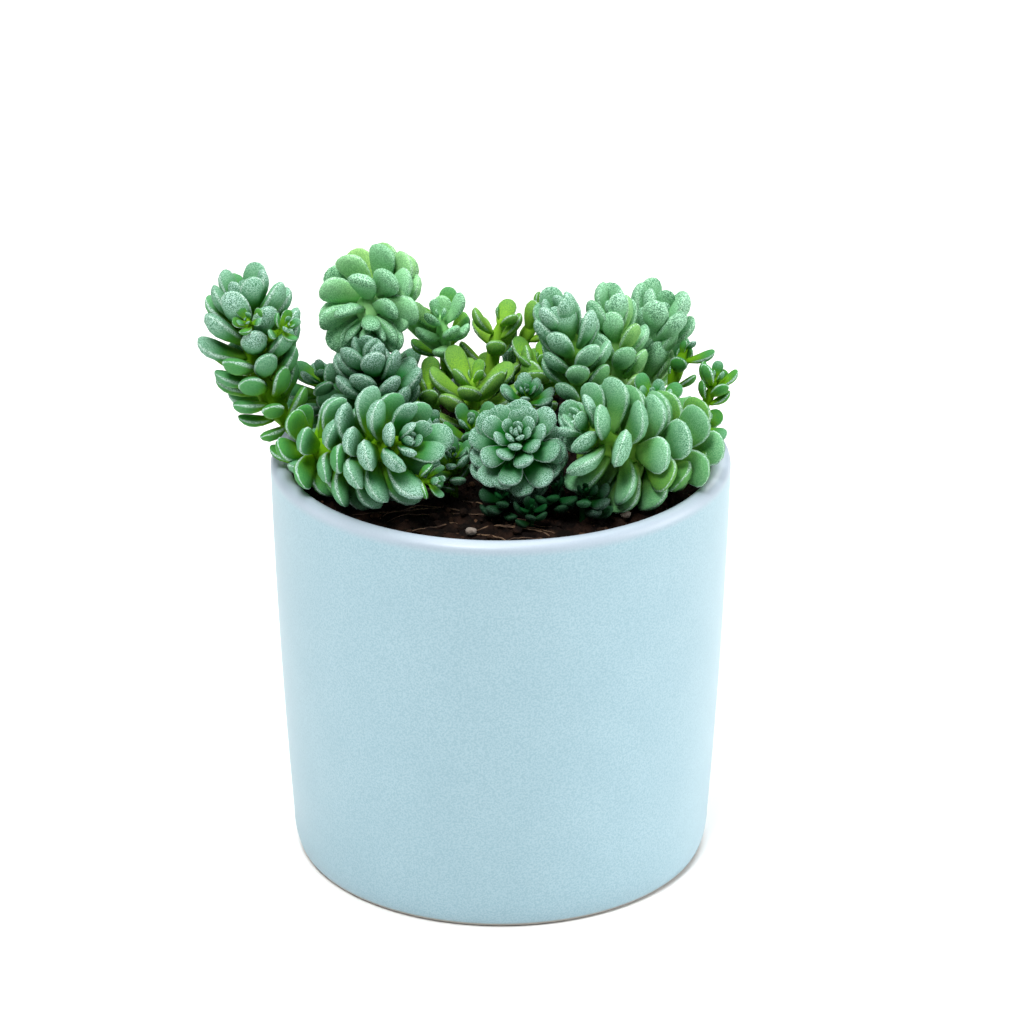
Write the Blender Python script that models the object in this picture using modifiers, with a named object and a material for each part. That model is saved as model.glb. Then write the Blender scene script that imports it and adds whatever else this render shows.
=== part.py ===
"""Potted sedum: a turned pot, the soil in it, and the leafy stems that stand in the soil.

Metres, +Z up. The pot stands on Z = 0 with its axis on the Z axis, and -Y is the front.
"""

import math

import bmesh
import bpy
import numpy as np
from mathutils import Matrix

MM = 0.001
GAP = 0.3 * MM

# Pot: a turned cup with a slight taper and belly
POT_HEIGHT = 64.85 * MM
POT_RIM_RADIUS = 35.0 * MM
POT_BASE_RADIUS = 32.07 * MM
POT_BELLY = 0.45 * MM
POT_WALL = 3.0 * MM
POT_FLOOR = 5.0 * MM
BASE_CORNER_HEIGHT = 5.5 * MM
BASE_CORNER_INSET = 1.6 * MM
INNER_CORNER = 4.0 * MM
INNER_CORNER_MIDDLE = 0.3
INNER_TAPER_START = 20.0 * MM
POT_STEPS = 36

# Soil: fills the pot to just under the rim, a little higher in the middle
SOIL_EDGE_HEIGHT = 62.4 * MM
SOIL_MOUND = 0.9 * MM
SOIL_RIPPLE = 0.35 * MM
RIPPLE_LENGTHS = (4.1 * MM, 5.3 * MM, 2.3 * MM, 3.1 * MM)
SOIL_CORNER_CUT = 1.8
SOIL_RADIUS = POT_RIM_RADIUS - POT_WALL - GAP
SOIL_RINGS = 4
SOIL_STEPS = 24

# Grit: pale crumbs on the soil, as x, y and half length in millimetres
GRIT = ((-11.2, -14.6, 1.2), (-4.4, -26.8, 0.8), (18.4, -20.8, 0.8))
GRIT_FLATNESS = 0.75
GRIT_LIFT = 0.35 * MM
GRIT_WIDTH = 0.8
GRIT_LUMPS = (0.82, 1.12)

# Stems: each stands in a plain hole in the soil
STEM_DEPTH = 5.0 * MM
STEM_STRAIGHT = 0.6 * MM
HOLE_SIDES = 6
HOLE_RISE = 4.0 * MM
STEM_POINT_SPACING = 2.2 * MM
CURVE_READINGS = 16
CORE_SHARE = 1.6
CORE_RAMP = 3.0 * MM
TIP_SHARE = 0.3
TIP_RAMP = 4.0 * MM

# Leaves: egg-shaped in outline, flatter above than below and arched towards the tip of the stem
LEAF_WIDTH = 0.50
LEAF_THICKNESS = 0.29
UPPER_SHARE = 0.38
ROOT_POWER = 0.8
END_POWER = 4
WIDEST = 0.665
RING_POWER = 0.75
GOLDEN_ANGLE = math.radians(137.5)
TIP_LEAF_SHARE = 0.13
GROWTH_POWER = 1.15
OPENING_POWER = 0.7
FADE_POWER = 3
CROWDING = 1.25
ROOT_SINK = 0.8
FIRST_ROOT = 0.4 * MM
TURN_SPREAD = 0.08
LENGTH_SPREAD = 0.05
ANGLE_SPREAD = 4.0
ROLL_SPREAD = 0.12
ARCH = (0.20, 0.04)
ROOT_STEP = 0.1 * MM
MANY_SIDES_OVER = 4.6 * MM
FEW_SIDES_UNDER = 2.6 * MM
SHARP_ANGLE = math.radians(50)
LEAF_CLEARANCE = 0.3 * MM
LEAF_REACH = 0.6
STEM_SPOT_SPACING = 0.5 * MM
ACROSS_STEMS = (0.31, 0.95, 0.12)
FACES_KEPT = 0.31
THIN_STEP = 0.008
THIN_TRIES = 20
WELD = 0.0001 * MM
SAME_POINT = 0.0004 * MM
FOLDS = ((0, 1.0), (12, 1.0), (0, 0.88), (24, 0.95), (12, 0.8), (36, 0.85), (24, 0.7), (40, 0.55))

# Leafy stems, in millimetres and degrees. path runs from the soil to the tip. count leaves sit on
# the last leafed mm, full is the length of a full leaf, which the grow-th leaf from the tip
# reaches, and opens holds the angle to the stem of the first leaf and of the full ones. Where they
# differ from the rest, spread is the leaf that first opens fully, fade the share that the lowest
# leaf is shorter by, and wide the width as a share of the length.
SHOOTS = (
    dict(node="stem_left_tall", path=((-27.6, 0.4, 0), (-29.6, 0, 66.6), (-32.4, -0.8, 70.0),
                                      (-35.0, -1.4, 75.0), (-36.8, -1.4, 81.5), (-37.8, -1, 88.6)),
         stem=1.1, count=46, leafed=19.5, full=7.9, grow=6, opens=(14, 66), spread=18, fade=0.3, turn=20,
         wide=0.46),
    dict(node="stem_left_tall", path=((-37.0, -1.6, 84.0), (-36.8, -5.0, 87.0), (-37.6, -7.8, 89.3)),
         stem=0.6, count=9, leafed=2.6, full=3.1, grow=6, opens=(15, 60), turn=0),
    dict(node="stem_left_tall", path=((-36.7, -1.6, 82.5), (-34.0, -5.0, 85.6), (-31.4, -7.4, 88.4)),
         stem=0.6, count=9, leafed=2.6, full=3.1, grow=6, opens=(15, 60), turn=50),
    dict(node="stem_front_left", path=((-28.9, -6.9, 0), (-28.9, -7.6, 67.9), (-25.8, -12.0, 70.2),
                                       (-20.4, -17.2, 71.8), (-13.9, -23.2, 76.4)),
         stem=1.15, count=58, leafed=26.5, full=8.2, grow=13, opens=(6, 74), spread=20, fade=0.3, turn=8),
    dict(node="stem_front_left", path=((-18.5, -18.8, 72.6), (-13.5, -22.4, 70.4), (-9.4, -24.6, 70.4)),
         stem=0.6, count=9, leafed=2.6, full=3.4, grow=6, opens=(12, 60), turn=0),
    dict(node="stem_front_middle", path=((3.0, -8, 0), (2.9, -10.4, 65.8), (2.7, -14.6, 69.8),
                                         (2.4, -18.3, 73.0), (2.3, -21.6, 76.8)),
         stem=1.1, count=60, leafed=15, full=6.4, grow=26, opens=(6, 80), turn=40, wide=0.53),
    dict(node="stem_front_right", path=((28.6, -3.5, 0), (28.2, -5.3, 66.6), (23.4, -11.0, 69.2),
                                        (17.4, -15.6, 72.0), (11.3, -18.4, 77.2)),
         stem=1.2, count=56, leafed=25, full=8.3, grow=17, opens=(8, 92), spread=28, turn=70, wide=0.60),
    dict(node="stem_middle_right", path=((12.5, 0, 0), (12.4, 0, 68), (11.9, 0, 75), (10.8, -0.5, 81.5),
                                         (9.0, -1.2, 86.6)),
         stem=1.0, count=30, leafed=13.5, full=6.4, grow=7, opens=(5, 56), spread=24, turn=50),
    dict(node="stem_right_upright", path=((18.5, 9, 0), (18.2, 9, 70), (17.5, 9, 77), (17.0, 9, 83.2)),
         stem=1.0, count=28, leafed=13, full=6.3, grow=6, opens=(6, 56), spread=22, turn=35),
    dict(node="stem_back_right", path=((22.5, 17, 0), (22.2, 17, 68), (22.8, 16.5, 75), (24.0, 16, 80.2)),
         stem=1.1, count=31, leafed=13.5, full=7.4, grow=7, opens=(6, 64), spread=20, turn=75),
    dict(node="stem_drooping", path=((-5.5, 18.5, 0), (-5.8, 18.8, 68), (-8.0, 18.6, 73.0),
                                     (-12.3, 17.4, 77.6), (-16.3, 14.8, 82.9), (-19.0, 11.2, 85.8),
                                     (-20.2, 7.2, 85.1), (-20.0, 4.6, 82.3)),
         stem=1.15, count=48, leafed=13.5, full=7.3, grow=21, opens=(6, 74), turn=15, wide=0.55),
    dict(node="stem_drooping", path=((-8.4, 18.5, 74.4), (-8.8, 16.8, 77.2), (-9.4, 15.6, 80.8)),
         stem=0.8, count=12, leafed=5.5, full=5.4, grow=5, opens=(12, 60), turn=30),
    dict(node="stem_left_middle", path=((-16.8, 3, 0), (-17.2, 2.6, 68), (-18.5, 2, 73.5), (-19.6, 1, 79.4)),
         stem=1.0, count=34, leafed=11, full=6.8, grow=9, opens=(6, 70), spread=26, turn=45),
    dict(node="stem_left_behind", path=((-21, 9.5, 0), (-22.8, 9.5, 66.2), (-25.4, 9.5, 68.4),
                                        (-27.4, 9.0, 73.4)),
         stem=0.9, count=22, leafed=9.5, full=6.6, grow=7, opens=(12, 68), turn=0),
    dict(node="stem_right_small", path=((28.8, 9, 0), (30.2, 8.8, 66.8), (31.8, 8.3, 70.2), (32.9, 8, 73.6)),
         stem=0.7, count=10, leafed=4.4, full=4.3, grow=4, opens=(12, 46), turn=20),
    dict(node="stem_right_thin", path=((26, 13.5, 0), (26.4, 13.5, 70), (27.5, 13.5, 74), (28.6, 13.5, 77)),
         stem=0.7, count=11, leafed=8, full=4.4, grow=4, opens=(20, 65), turn=0),
    dict(node="stem_right_bud", path=((22.8, 3.5, 0), (23.0, 2.7, 68), (23.2, 0.9, 73.6)),
         stem=0.8, count=20, leafed=5, full=5.0, grow=11, opens=(10, 75), turn=30),
    dict(node="stem_right_low", path=((28.2, 6.2, 0), (28.8, 5.6, 65.6), (30.2, 3.4, 67.4)),
         stem=0.9, count=9, leafed=3.2, full=4.8, grow=5, opens=(20, 66), turn=0),
    dict(node="bud_behind_middle", path=((4, 3, 0), (3.9, 2, 69), (3.8, 0.4, 74.6)),
         stem=0.8, count=18, leafed=4, full=4.4, grow=11, opens=(8, 74), turn=0),
    dict(node="stem_middle_left", path=((-3.5, -4.5, 0), (-3.8, -5, 67.5), (-4.5, -6.2, 72.0)),
         stem=0.8, count=14, leafed=6, full=5.0, grow=7, opens=(12, 58), turn=0),
    dict(node="bud_front_left", path=((-7, -13.5, 0), (-7.1, -14.5, 67.5), (-7.1, -16.5, 71.4)),
         stem=0.7, count=20, leafed=6.5, full=4.2, grow=9, opens=(10, 68), turn=0),
    dict(node="stem_centre", path=((-4.6, 8, 0), (-4.6, 8, 67.0), (-4.2, 7.6, 73.6)),
         stem=0.9, count=18, leafed=8, full=7.0, grow=6, opens=(20, 70), turn=0),
    dict(node="stem_centre_left", path=((-11, 8, 0), (-11, 8, 67.0), (-10.9, 8.2, 72.6)),
         stem=0.9, count=15, leafed=7, full=6.6, grow=6, opens=(20, 70), turn=90),
    dict(node="stem_back_thin_1", path=((-1.5, 19, 0), (-1.5, 19, 70), (-0.8, 19, 75.5), (0, 19, 79)),
         stem=0.7, count=12, leafed=12, full=5.8, grow=3, opens=(25, 62), turn=0),
    dict(node="stem_back_thin_2", path=((2.8, 21, 0), (2.9, 21, 69), (3.6, 20.5, 75), (6.2, 20, 79.5)),
         stem=0.7, count=6, leafed=7, full=6.8, grow=2, opens=(30, 55), turn=0),
    dict(node="stem_back_thin_3", path=((-8.5, 22.5, 0), (-8.4, 22, 70), (-8.6, 20.5, 75), (-9.0, 18.4, 79)),
         stem=0.7, count=13, leafed=12, full=5.5, grow=3, opens=(25, 66), turn=0),
    dict(node="stem_back_green", path=((6.0, 13, 0), (6.0, 13, 67.5), (6.0, 12.5, 74.6)),
         stem=0.9, count=17, leafed=8.5, full=6.8, grow=6, opens=(15, 68), turn=0),
    dict(node="sprout_front_1", path=((8, -19.2, 0), (8.0, -19.8, 65.5), (7.9, -20.9, 68.2)),
         stem=0.6, count=18, leafed=5, full=4.2, grow=8, opens=(8, 64), turn=0),
    dict(node="sprout_front_2", path=((12.2, -20.5, 0), (12.4, -21.2, 65.5), (12.4, -22.6, 68.2)),
         stem=0.6, count=19, leafed=5, full=4.4, grow=8, opens=(8, 66), turn=0),
    dict(node="sprout_front_3", path=((4.4, -23.2, 0), (4.4, -23.6, 64.9), (4.4, -24.4, 66.4)),
         stem=0.5, count=12, leafed=3, full=3.2, grow=6, opens=(8, 64), turn=0),
    dict(node="sprout_front_4", path=((0.5, -20, 0), (0.6, -20.9, 65.4), (0.6, -22.4, 67.6)),
         stem=0.6, count=17, leafed=4.6, full=4.3, grow=8, opens=(8, 66), turn=0),
    dict(node="stem_behind_front_left", path=((-10.5, -5, 0), (-10.5, -5.2, 66.5), (-10.2, -6, 71.6)),
         stem=0.9, count=17, leafed=7, full=6.0, grow=7, opens=(12, 70), turn=0),
    dict(node="stem_back_low_1", path=((14, 21, 0), (14.2, 21.5, 66), (14.5, 22, 71.0)),
         stem=0.9, count=20, leafed=7, full=7.0, grow=8, opens=(12, 74), turn=0),
    dict(node="stem_back_low_2", path=((-18, 18.5, 0), (-18.2, 19.2, 66), (-18.4, 19.8, 71.0)),
         stem=0.9, count=20, leafed=7, full=7.0, grow=8, opens=(12, 74), turn=0),
    dict(node="stem_back_low_3", path=((2.5, 25.6, 0), (2.5, 25.9, 66.2), (2.7, 26.2, 69.6)),
         stem=0.8, count=17, leafed=5.5, full=5.6, grow=7, opens=(14, 76), turn=0),
)

POT_COLOUR = (0.43, 0.64, 0.72)
SOIL_COLOUR = (0.022, 0.012, 0.008)
GRIT_COLOUR = (0.55, 0.50, 0.45)
LEAF_COLOUR = (0.16, 0.36, 0.26)


def empty_scene():
    """Removes the objects that the scene starts with."""
    for thing in list(bpy.data.objects):
        bpy.data.objects.remove(thing)


def new_collection(name):
    """A collection linked to the scene."""
    collection = bpy.data.collections.new(name)
    bpy.context.scene.collection.children.link(collection)
    return collection


def material(name, colour, roughness):
    """A plain Principled material."""
    finish = bpy.data.materials.new(name)
    finish.use_nodes = True
    shader = finish.node_tree.nodes["Principled BSDF"]
    shader.inputs["Base Color"].default_value = (*colour, 1.0)
    shader.inputs["Roughness"].default_value = roughness
    shader.inputs["Metallic"].default_value = 0.0
    return finish


def pot_radius(z):
    """Outer radius of the pot at height z: a straight taper plus a parabola's belly."""
    share = z / POT_HEIGHT
    taper = POT_BASE_RADIUS + (POT_RIM_RADIUS - POT_BASE_RADIUS) * share
    return taper + POT_BELLY * 4 * share * (1 - share)


def pot_outline():
    """The wall's section: up the inside, over the round rim, down the outside and under the base."""
    lip = POT_WALL / 2
    rim = POT_HEIGHT - lip
    inner_base = pot_radius(POT_FLOOR) - POT_WALL
    points = [(0, POT_FLOOR), (inner_base - INNER_CORNER, POT_FLOOR)]
    points += [(inner_base - INNER_CORNER * INNER_CORNER_MIDDLE,
                POT_FLOOR + INNER_CORNER * INNER_CORNER_MIDDLE)]
    points += [(inner_base, POT_FLOOR + INNER_CORNER)]
    points += [(pot_radius(z) - POT_WALL, z) for z in np.linspace(INNER_TAPER_START, rim, 3)]
    for turn in np.linspace(math.pi, 0, 7)[1:-1]:
        points.append((pot_radius(rim) - lip + lip * math.cos(turn), rim + lip * math.sin(turn)))
    points += [(pot_radius(z), z) for z in np.linspace(rim, BASE_CORNER_HEIGHT, 6)]
    corner = pot_radius(BASE_CORNER_HEIGHT) - BASE_CORNER_INSET
    for turn in np.linspace(0, math.pi / 2, 4)[1:]:
        points.append((corner + BASE_CORNER_INSET * math.cos(turn),
                       BASE_CORNER_HEIGHT * (1 - math.sin(turn))))
    points.append((0, 0))
    return points


def turned(name, outline, steps, collection):
    """An outline of (radius, height) points turned about the Z axis."""
    mesh = bpy.data.meshes.new(name)
    edges = [(i, i + 1) for i in range(len(outline) - 1)]
    mesh.from_pydata([(r, 0, z) for r, z in outline], edges, [])
    thing = bpy.data.objects.new(name, mesh)
    collection.objects.link(thing)
    screw = thing.modifiers.new("Turn", "SCREW")
    screw.steps = steps
    screw.render_steps = steps
    screw.use_merge_vertices = True
    screw.merge_threshold = 0.00001
    screw.use_smooth_shade = True
    return thing


def pot(parts):
    thing = turned("pot", pot_outline(), POT_STEPS, parts)
    thing.data.materials.append(material("glazed_pot", POT_COLOUR, 0.45))
    return thing


def soil_height(x, y):
    """Height of the soil at a place: a low mound with ripples that fade out at the wall."""
    share = np.minimum((x * x + y * y) / SOIL_RADIUS**2, 1)
    a, b, c, d = RIPPLE_LENGTHS
    wave = np.sin(x / a + 0.7) * np.cos(y / b - 0.4) + 0.6 * np.sin(x / c - y / d)
    return SOIL_EDGE_HEIGHT + (SOIL_MOUND + SOIL_RIPPLE * wave) * (1 - share)


def soil(parts, cutters, stands):
    """A disc with an uneven top, with a hole for each stem that stands in it."""
    inner_base = pot_radius(POT_FLOOR) - POT_WALL
    floor = POT_FLOOR + GAP
    outline = [(r, SOIL_EDGE_HEIGHT) for r in np.linspace(0, SOIL_RADIUS, SOIL_RINGS)]
    outline += [(pot_radius(INNER_TAPER_START) - POT_WALL - GAP, INNER_TAPER_START)]
    outline += [(inner_base - INNER_CORNER, floor + INNER_CORNER / 2)]
    outline += [(inner_base - INNER_CORNER * SOIL_CORNER_CUT, floor), (0, floor)]
    thing = turned("soil", outline, SOIL_STEPS, parts)
    make_mesh(thing)
    for vertex in thing.data.vertices:
        if vertex.co.z > SOIL_EDGE_HEIGHT - GAP:
            vertex.co.z = soil_height(vertex.co.x, vertex.co.y)
    holes = bmesh.new()
    for x, y, radius in stands:
        top = soil_height(x, y)
        low = top - STEM_DEPTH - GAP
        high = SOIL_EDGE_HEIGHT + HOLE_RISE
        wide = (radius + GAP) / math.cos(math.pi / HOLE_SIDES)
        bmesh.ops.create_cone(holes, cap_ends=True, segments=HOLE_SIDES, radius1=wide, radius2=wide,
                              depth=high - low, matrix=Matrix.Translation((x, y, (high + low) / 2)))
    mesh = bpy.data.meshes.new("stem_holes")
    holes.to_mesh(mesh)
    holes.free()
    cutter = bpy.data.objects.new("stem_holes", mesh)
    cutter.hide_render = True
    cutter.display_type = "WIRE"
    cutters.objects.link(cutter)
    cut = thing.modifiers.new("Holes", "BOOLEAN")
    cut.operation = "DIFFERENCE"
    cut.solver = "EXACT"
    cut.object = cutter
    thing.data.materials.append(material("soil", SOIL_COLOUR, 0.95))
    return thing


def grit(number, x, y, size, parts, finish):
    """A crumb of pumice: a lumpy ball, flattened and laid on the soil."""
    shape = bmesh.new()
    bmesh.ops.create_icosphere(shape, subdivisions=1, radius=1)
    draw = np.random.default_rng(number)
    for vertex in shape.verts:
        vertex.co *= draw.uniform(*GRIT_LUMPS)
        vertex.co.z *= GRIT_FLATNESS
    low = min(vertex.co.z for vertex in shape.verts)
    for vertex in shape.verts:
        vertex.co = (vertex.co.x * size, vertex.co.y * size * GRIT_WIDTH, (vertex.co.z - low) * size)
    mesh = bpy.data.meshes.new(f"grit_{number}")
    shape.to_mesh(mesh)
    shape.free()
    thing = bpy.data.objects.new(f"grit_{number}", mesh)
    thing.location = (x, y, soil_height(x, y) + GRIT_LIFT)
    thing.data.materials.append(finish)
    parts.objects.link(thing)


def make_mesh(thing):
    """Replaces an object's data by its evaluated mesh and drops its modifiers."""
    depsgraph = bpy.context.evaluated_depsgraph_get()
    mesh = bpy.data.meshes.new_from_object(thing.evaluated_get(depsgraph))
    thing.modifiers.clear()
    thing.data = mesh


def smooth_path(points, spacing):
    """A Catmull-Rom curve through the points, read at even steps of its length."""
    points = np.asarray(points, float)
    ends = np.vstack([2 * points[0] - points[1], points, 2 * points[-1] - points[-2]])
    t = np.linspace(0, 1, CURVE_READINGS, endpoint=False)[:, None]
    runs = []
    for a, b, c, d in zip(ends[:-3], ends[1:-2], ends[2:-1], ends[3:]):
        runs.append(0.5 * (2 * b + (c - a) * t + (2 * a - 5 * b + 4 * c - d) * t**2
                           + (3 * b - a - 3 * c + d) * t**3))
    fine = np.vstack(runs + [points[-1:]])
    along = np.concatenate([[0], np.cumsum(np.linalg.norm(np.diff(fine, axis=0), axis=1))])
    count = max(3, int(round(along[-1] / spacing)) + 1)
    even = np.linspace(0, along[-1], count)
    return np.stack([np.interp(even, along, fine[:, k]) for k in range(3)], axis=1)


def stem_path(shoot):
    """The stem's line in metres: straight up out of its hole, then through the shoot's points."""
    path = [np.array(p, float) * MM for p in shoot["path"]]
    if path[0][2] > 0:
        return smooth_path(path, STEM_POINT_SPACING)
    x, y, _ = path[0]
    top = soil_height(x, y)
    path[0] = np.array((x, y, top + STEM_STRAIGHT))
    curve = smooth_path(path, STEM_POINT_SPACING)
    return np.vstack([[(x, y, top - STEM_DEPTH)], curve])


def unit(v):
    return v / np.linalg.norm(v, axis=-1, keepdims=True)


def carried_sides(line):
    """Tangents along a line, and a side vector carried along it without twisting."""
    tangents = unit(np.gradient(line, axis=0))
    side = unit(np.cross(tangents[0], ACROSS_STEMS))
    sides = []
    for tangent in tangents:
        side = unit(side - tangent * side.dot(tangent))
        sides.append(side)
    return tangents, np.array(sides)


def eased(x):
    """A smooth step from 0 at 0 to 1 at 1."""
    x = np.clip(x, 0, 1)
    return x * x * (3 - 2 * x)


def stem_radius(shoot, from_tip):
    """Radius of the stem at a distance from its tip: fuller where leaves sit, thin at the tip."""
    fuller = 1 + (CORE_SHARE - 1) * eased((shoot["leafed"] * MM - from_tip) / CORE_RAMP)
    return shoot["stem"] * MM * fuller * (TIP_SHARE + (1 - TIP_SHARE) * eased(from_tip / TIP_RAMP))


def from_tip(line):
    """Distance of each point of a line from the line's end."""
    steps = np.linalg.norm(np.diff(line, axis=0), axis=1)
    return np.concatenate([np.cumsum(steps[::-1])[::-1], [0]])


def shoot_leaves(shoot, seed):
    """Roots, directions and sizes of a shoot's leaves, from the tip down, on a golden-angle spiral."""
    draw = np.random.default_rng(seed)
    stem = stem_path(shoot)
    line = smooth_path(stem[1:] if shoot["path"][0][2] == 0 else stem, ROOT_STEP)
    tangents, sides = carried_sides(line)
    count = shoot["count"]
    rank = np.arange(count)
    down = FIRST_ROOT + shoot["leafed"] * MM * (rank / (count - 1))**CROWDING
    index = np.clip(len(line) - 1 - np.round(down / ROOT_STEP).astype(int), 0, len(line) - 1)
    axis = tangents[index]
    first = sides[index]
    second = np.cross(axis, first)
    turn = rank * GOLDEN_ANGLE + math.radians(shoot["turn"]) + draw.normal(0, TURN_SPREAD, count)
    radial = first * np.cos(turn)[:, None] + second * np.sin(turn)[:, None]
    grown = np.minimum((rank + 1) / shoot["grow"], 1)
    opened = np.minimum((rank + 1) / shoot.get("spread", shoot["grow"]), 1)
    share = TIP_LEAF_SHARE + (1 - TIP_LEAF_SHARE) * grown**GROWTH_POWER
    share *= 1 - shoot.get("fade", 0) * (rank / (count - 1))**FADE_POWER
    length = shoot["full"] * MM * share * draw.normal(1, LENGTH_SPREAD, count)
    low, high = shoot["opens"]
    angle = np.radians(low + (high - low) * opened**OPENING_POWER + draw.normal(0, ANGLE_SPREAD, count))
    length = length + stem_radius(shoot, down) * ROOT_SINK
    wide = np.full(count, shoot.get("wide", LEAF_WIDTH))
    return dict(root=line[index], axis=axis, radial=radial, angle=angle, length=length, wide=wide,
                roll=draw.normal(0, ROLL_SPREAD, count), arch=draw.normal(*ARCH, count))


def leaf_frame(leaf, fold=0.0, size=1.0):
    """A leaf as its root, its length, side and up vectors (scaled) and its arch."""
    angle = leaf["angle"] - math.radians(fold)
    along = math.cos(angle) * leaf["axis"] + math.sin(angle) * leaf["radial"]
    up = math.sin(angle) * leaf["axis"] - math.cos(angle) * leaf["radial"]
    side = np.cross(up, along)
    roll = leaf["roll"]
    across = side * math.cos(roll) + up * math.sin(roll)
    above = up * math.cos(roll) - side * math.sin(roll)
    return dict(root=leaf["root"], along=along, side=across, up=above, length=leaf["length"] * size,
                arch=leaf["arch"], wide=leaf["wide"])


def outline_width(t):
    """Half width of a leaf as a share of its widest, at the share t of its length."""
    t = np.clip(t, 0, 1)
    return t**ROOT_POWER * np.sqrt(1 - t**END_POWER) / WIDEST


def leaf_points(frame, t, turn):
    """Points on a leaf's skin: t runs from root to tip and turn goes round the section."""
    length = frame["length"]
    wide = outline_width(t)
    across = frame["wide"] / 2 * length * wide * np.cos(turn)
    share = np.where(np.sin(turn) > 0, UPPER_SHARE, 1 - UPPER_SHARE)
    above = LEAF_THICKNESS * length * share * wide * np.sin(turn) + frame["arch"] * length * t * t
    return (frame["root"] + np.outer(length * t, frame["along"]) + np.outer(across, frame["side"])
            + np.outer(above, frame["up"]))


SAMPLE_PLACES = (0.3, 0.45, 0.6, 0.75, 0.88, 0.97)
SAMPLE_TURNS = 8
SAMPLE_T = np.repeat(SAMPLE_PLACES, SAMPLE_TURNS)
SAMPLE_TURN = np.tile(np.arange(SAMPLE_TURNS) * 2 * math.pi / SAMPLE_TURNS, len(SAMPLE_PLACES))


class Space:
    """The room that leaves and stems already take, so that the next leaf can be kept clear of it."""

    def __init__(self):
        self.nodes = []
        self.leaves = []
        self.samples = []
        self.stem_nodes = []
        self.stem_points = []
        self.stem_radii = []

    def add_stem(self, node, line, radii):
        self.stem_nodes += [node] * len(line)
        self.stem_points += list(line)
        self.stem_radii += list(radii)

    def add_leaf(self, node, frame):
        self.nodes.append(node)
        self.leaves.append(frame)
        self.samples.append(leaf_points(frame, SAMPLE_T, SAMPLE_TURN))

    def inside(self, frames, points):
        """Whether any point lies in the leaf that stands at the same place in the list."""
        root = np.array([f["root"] for f in frames])
        base = np.array([(f["along"], f["side"], f["up"]) for f in frames])
        length = np.array([f["length"] for f in frames])[:, None]
        arch = np.array([f["arch"] for f in frames])[:, None]
        broad = np.array([f["wide"] for f in frames])[:, None]
        local = np.einsum("npk,njk->npj", points - root[:, None], base)
        t = local[..., 0] / length
        wide = outline_width(t) * length
        across = broad / 2 * wide + LEAF_CLEARANCE
        rise = local[..., 2] - arch * length * t * t
        share = np.where(rise > 0, UPPER_SHARE, 1 - UPPER_SHARE)
        deep = LEAF_THICKNESS * share * wide + LEAF_CLEARANCE
        hit = (local[..., 1] / across)**2 + (rise / deep)**2 < 1
        ends = LEAF_CLEARANCE / length
        return bool((hit & (t > -ends) & (t < 1 + ends)).any())

    def clear(self, node, frame):
        """Whether a leaf stays clear of the pot, the soil and every other node's leaves and stems."""
        points = leaf_points(frame, SAMPLE_T, SAMPLE_TURN)
        radius = np.hypot(points[:, 0], points[:, 1])
        in_wall = (radius > SOIL_RADIUS - GAP) & (radius < POT_RIM_RADIUS + GAP)
        if (in_wall & (points[:, 2] < POT_HEIGHT + GAP)).any():
            return False
        ground = soil_height(points[:, 0], points[:, 1]) + GAP
        if ((radius < POT_RIM_RADIUS) & (points[:, 2] < ground)).any():
            return False
        middle = frame["root"] + frame["along"] * frame["length"] / 2
        reach = frame["length"] * LEAF_REACH
        stems = [i for i, other in enumerate(self.stem_nodes) if other != node]
        if stems:
            spots = np.array([self.stem_points[i] for i in stems])
            radii = np.array([self.stem_radii[i] for i in stems]) + LEAF_CLEARANCE
            apart = np.linalg.norm(points[:, None] - spots[None], axis=2)
            if (apart < radii).any():
                return False
        near = []
        for i, other in enumerate(self.nodes):
            if other == node:
                continue
            rival = self.leaves[i]
            centre = rival["root"] + rival["along"] * rival["length"] / 2
            if np.linalg.norm(centre - middle) < reach + rival["length"] * LEAF_REACH + LEAF_CLEARANCE:
                near.append(i)
        if not near:
            return True
        rivals = [self.leaves[i] for i in near]
        if self.inside(rivals, np.broadcast_to(points, (len(near), *points.shape))):
            return False
        return not self.inside([frame] * len(near), np.array([self.samples[i] for i in near]))


def settle_leaves():
    """Every shoot's leaves, folded towards their stem or made smaller where they would hit."""
    space = Space()
    for shoot in SHOOTS:
        line = smooth_path(stem_path(shoot), STEM_SPOT_SPACING)
        space.add_stem(shoot["node"], line, stem_radius(shoot, from_tip(line)))
    settled = []
    for seed, shoot in enumerate(SHOOTS):
        leaves = shoot_leaves(shoot, seed)
        kept = []
        for i in range(shoot["count"]):
            leaf = {key: value[i] for key, value in leaves.items()}
            for fold, size in FOLDS:
                frame = leaf_frame(leaf, fold, size)
                if space.clear(shoot["node"], frame):
                    space.add_leaf(shoot["node"], frame)
                    kept.append(frame)
                    break
        settled.append(kept)
    return settled


def leaf_mesh(frame, name):
    """A leaf with few sides: a sphere's rings pulled into the leaf's outline."""
    long = frame["length"]
    if long > MANY_SIDES_OVER:
        sides, rings = 6, 4
    elif long > FEW_SIDES_UNDER:
        sides, rings = 5, 3
    else:
        sides, rings = 4, 3
    shape = bmesh.new()
    bmesh.ops.create_uvsphere(shape, u_segments=sides, v_segments=rings, radius=1)
    ball = np.array([v.co for v in shape.verts])
    t = ((1 - ball[:, 2]) / 2)**RING_POWER
    turn = np.arctan2(ball[:, 1], ball[:, 0])
    for vertex, place in zip(shape.verts, leaf_points(frame, t, turn)):
        vertex.co = place
    bmesh.ops.triangulate(shape, faces=shape.faces)
    bmesh.ops.recalc_face_normals(shape, faces=shape.faces)
    mesh = bpy.data.meshes.new(name)
    shape.to_mesh(mesh)
    shape.free()
    return bpy.data.objects.new(name, mesh)


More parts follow.
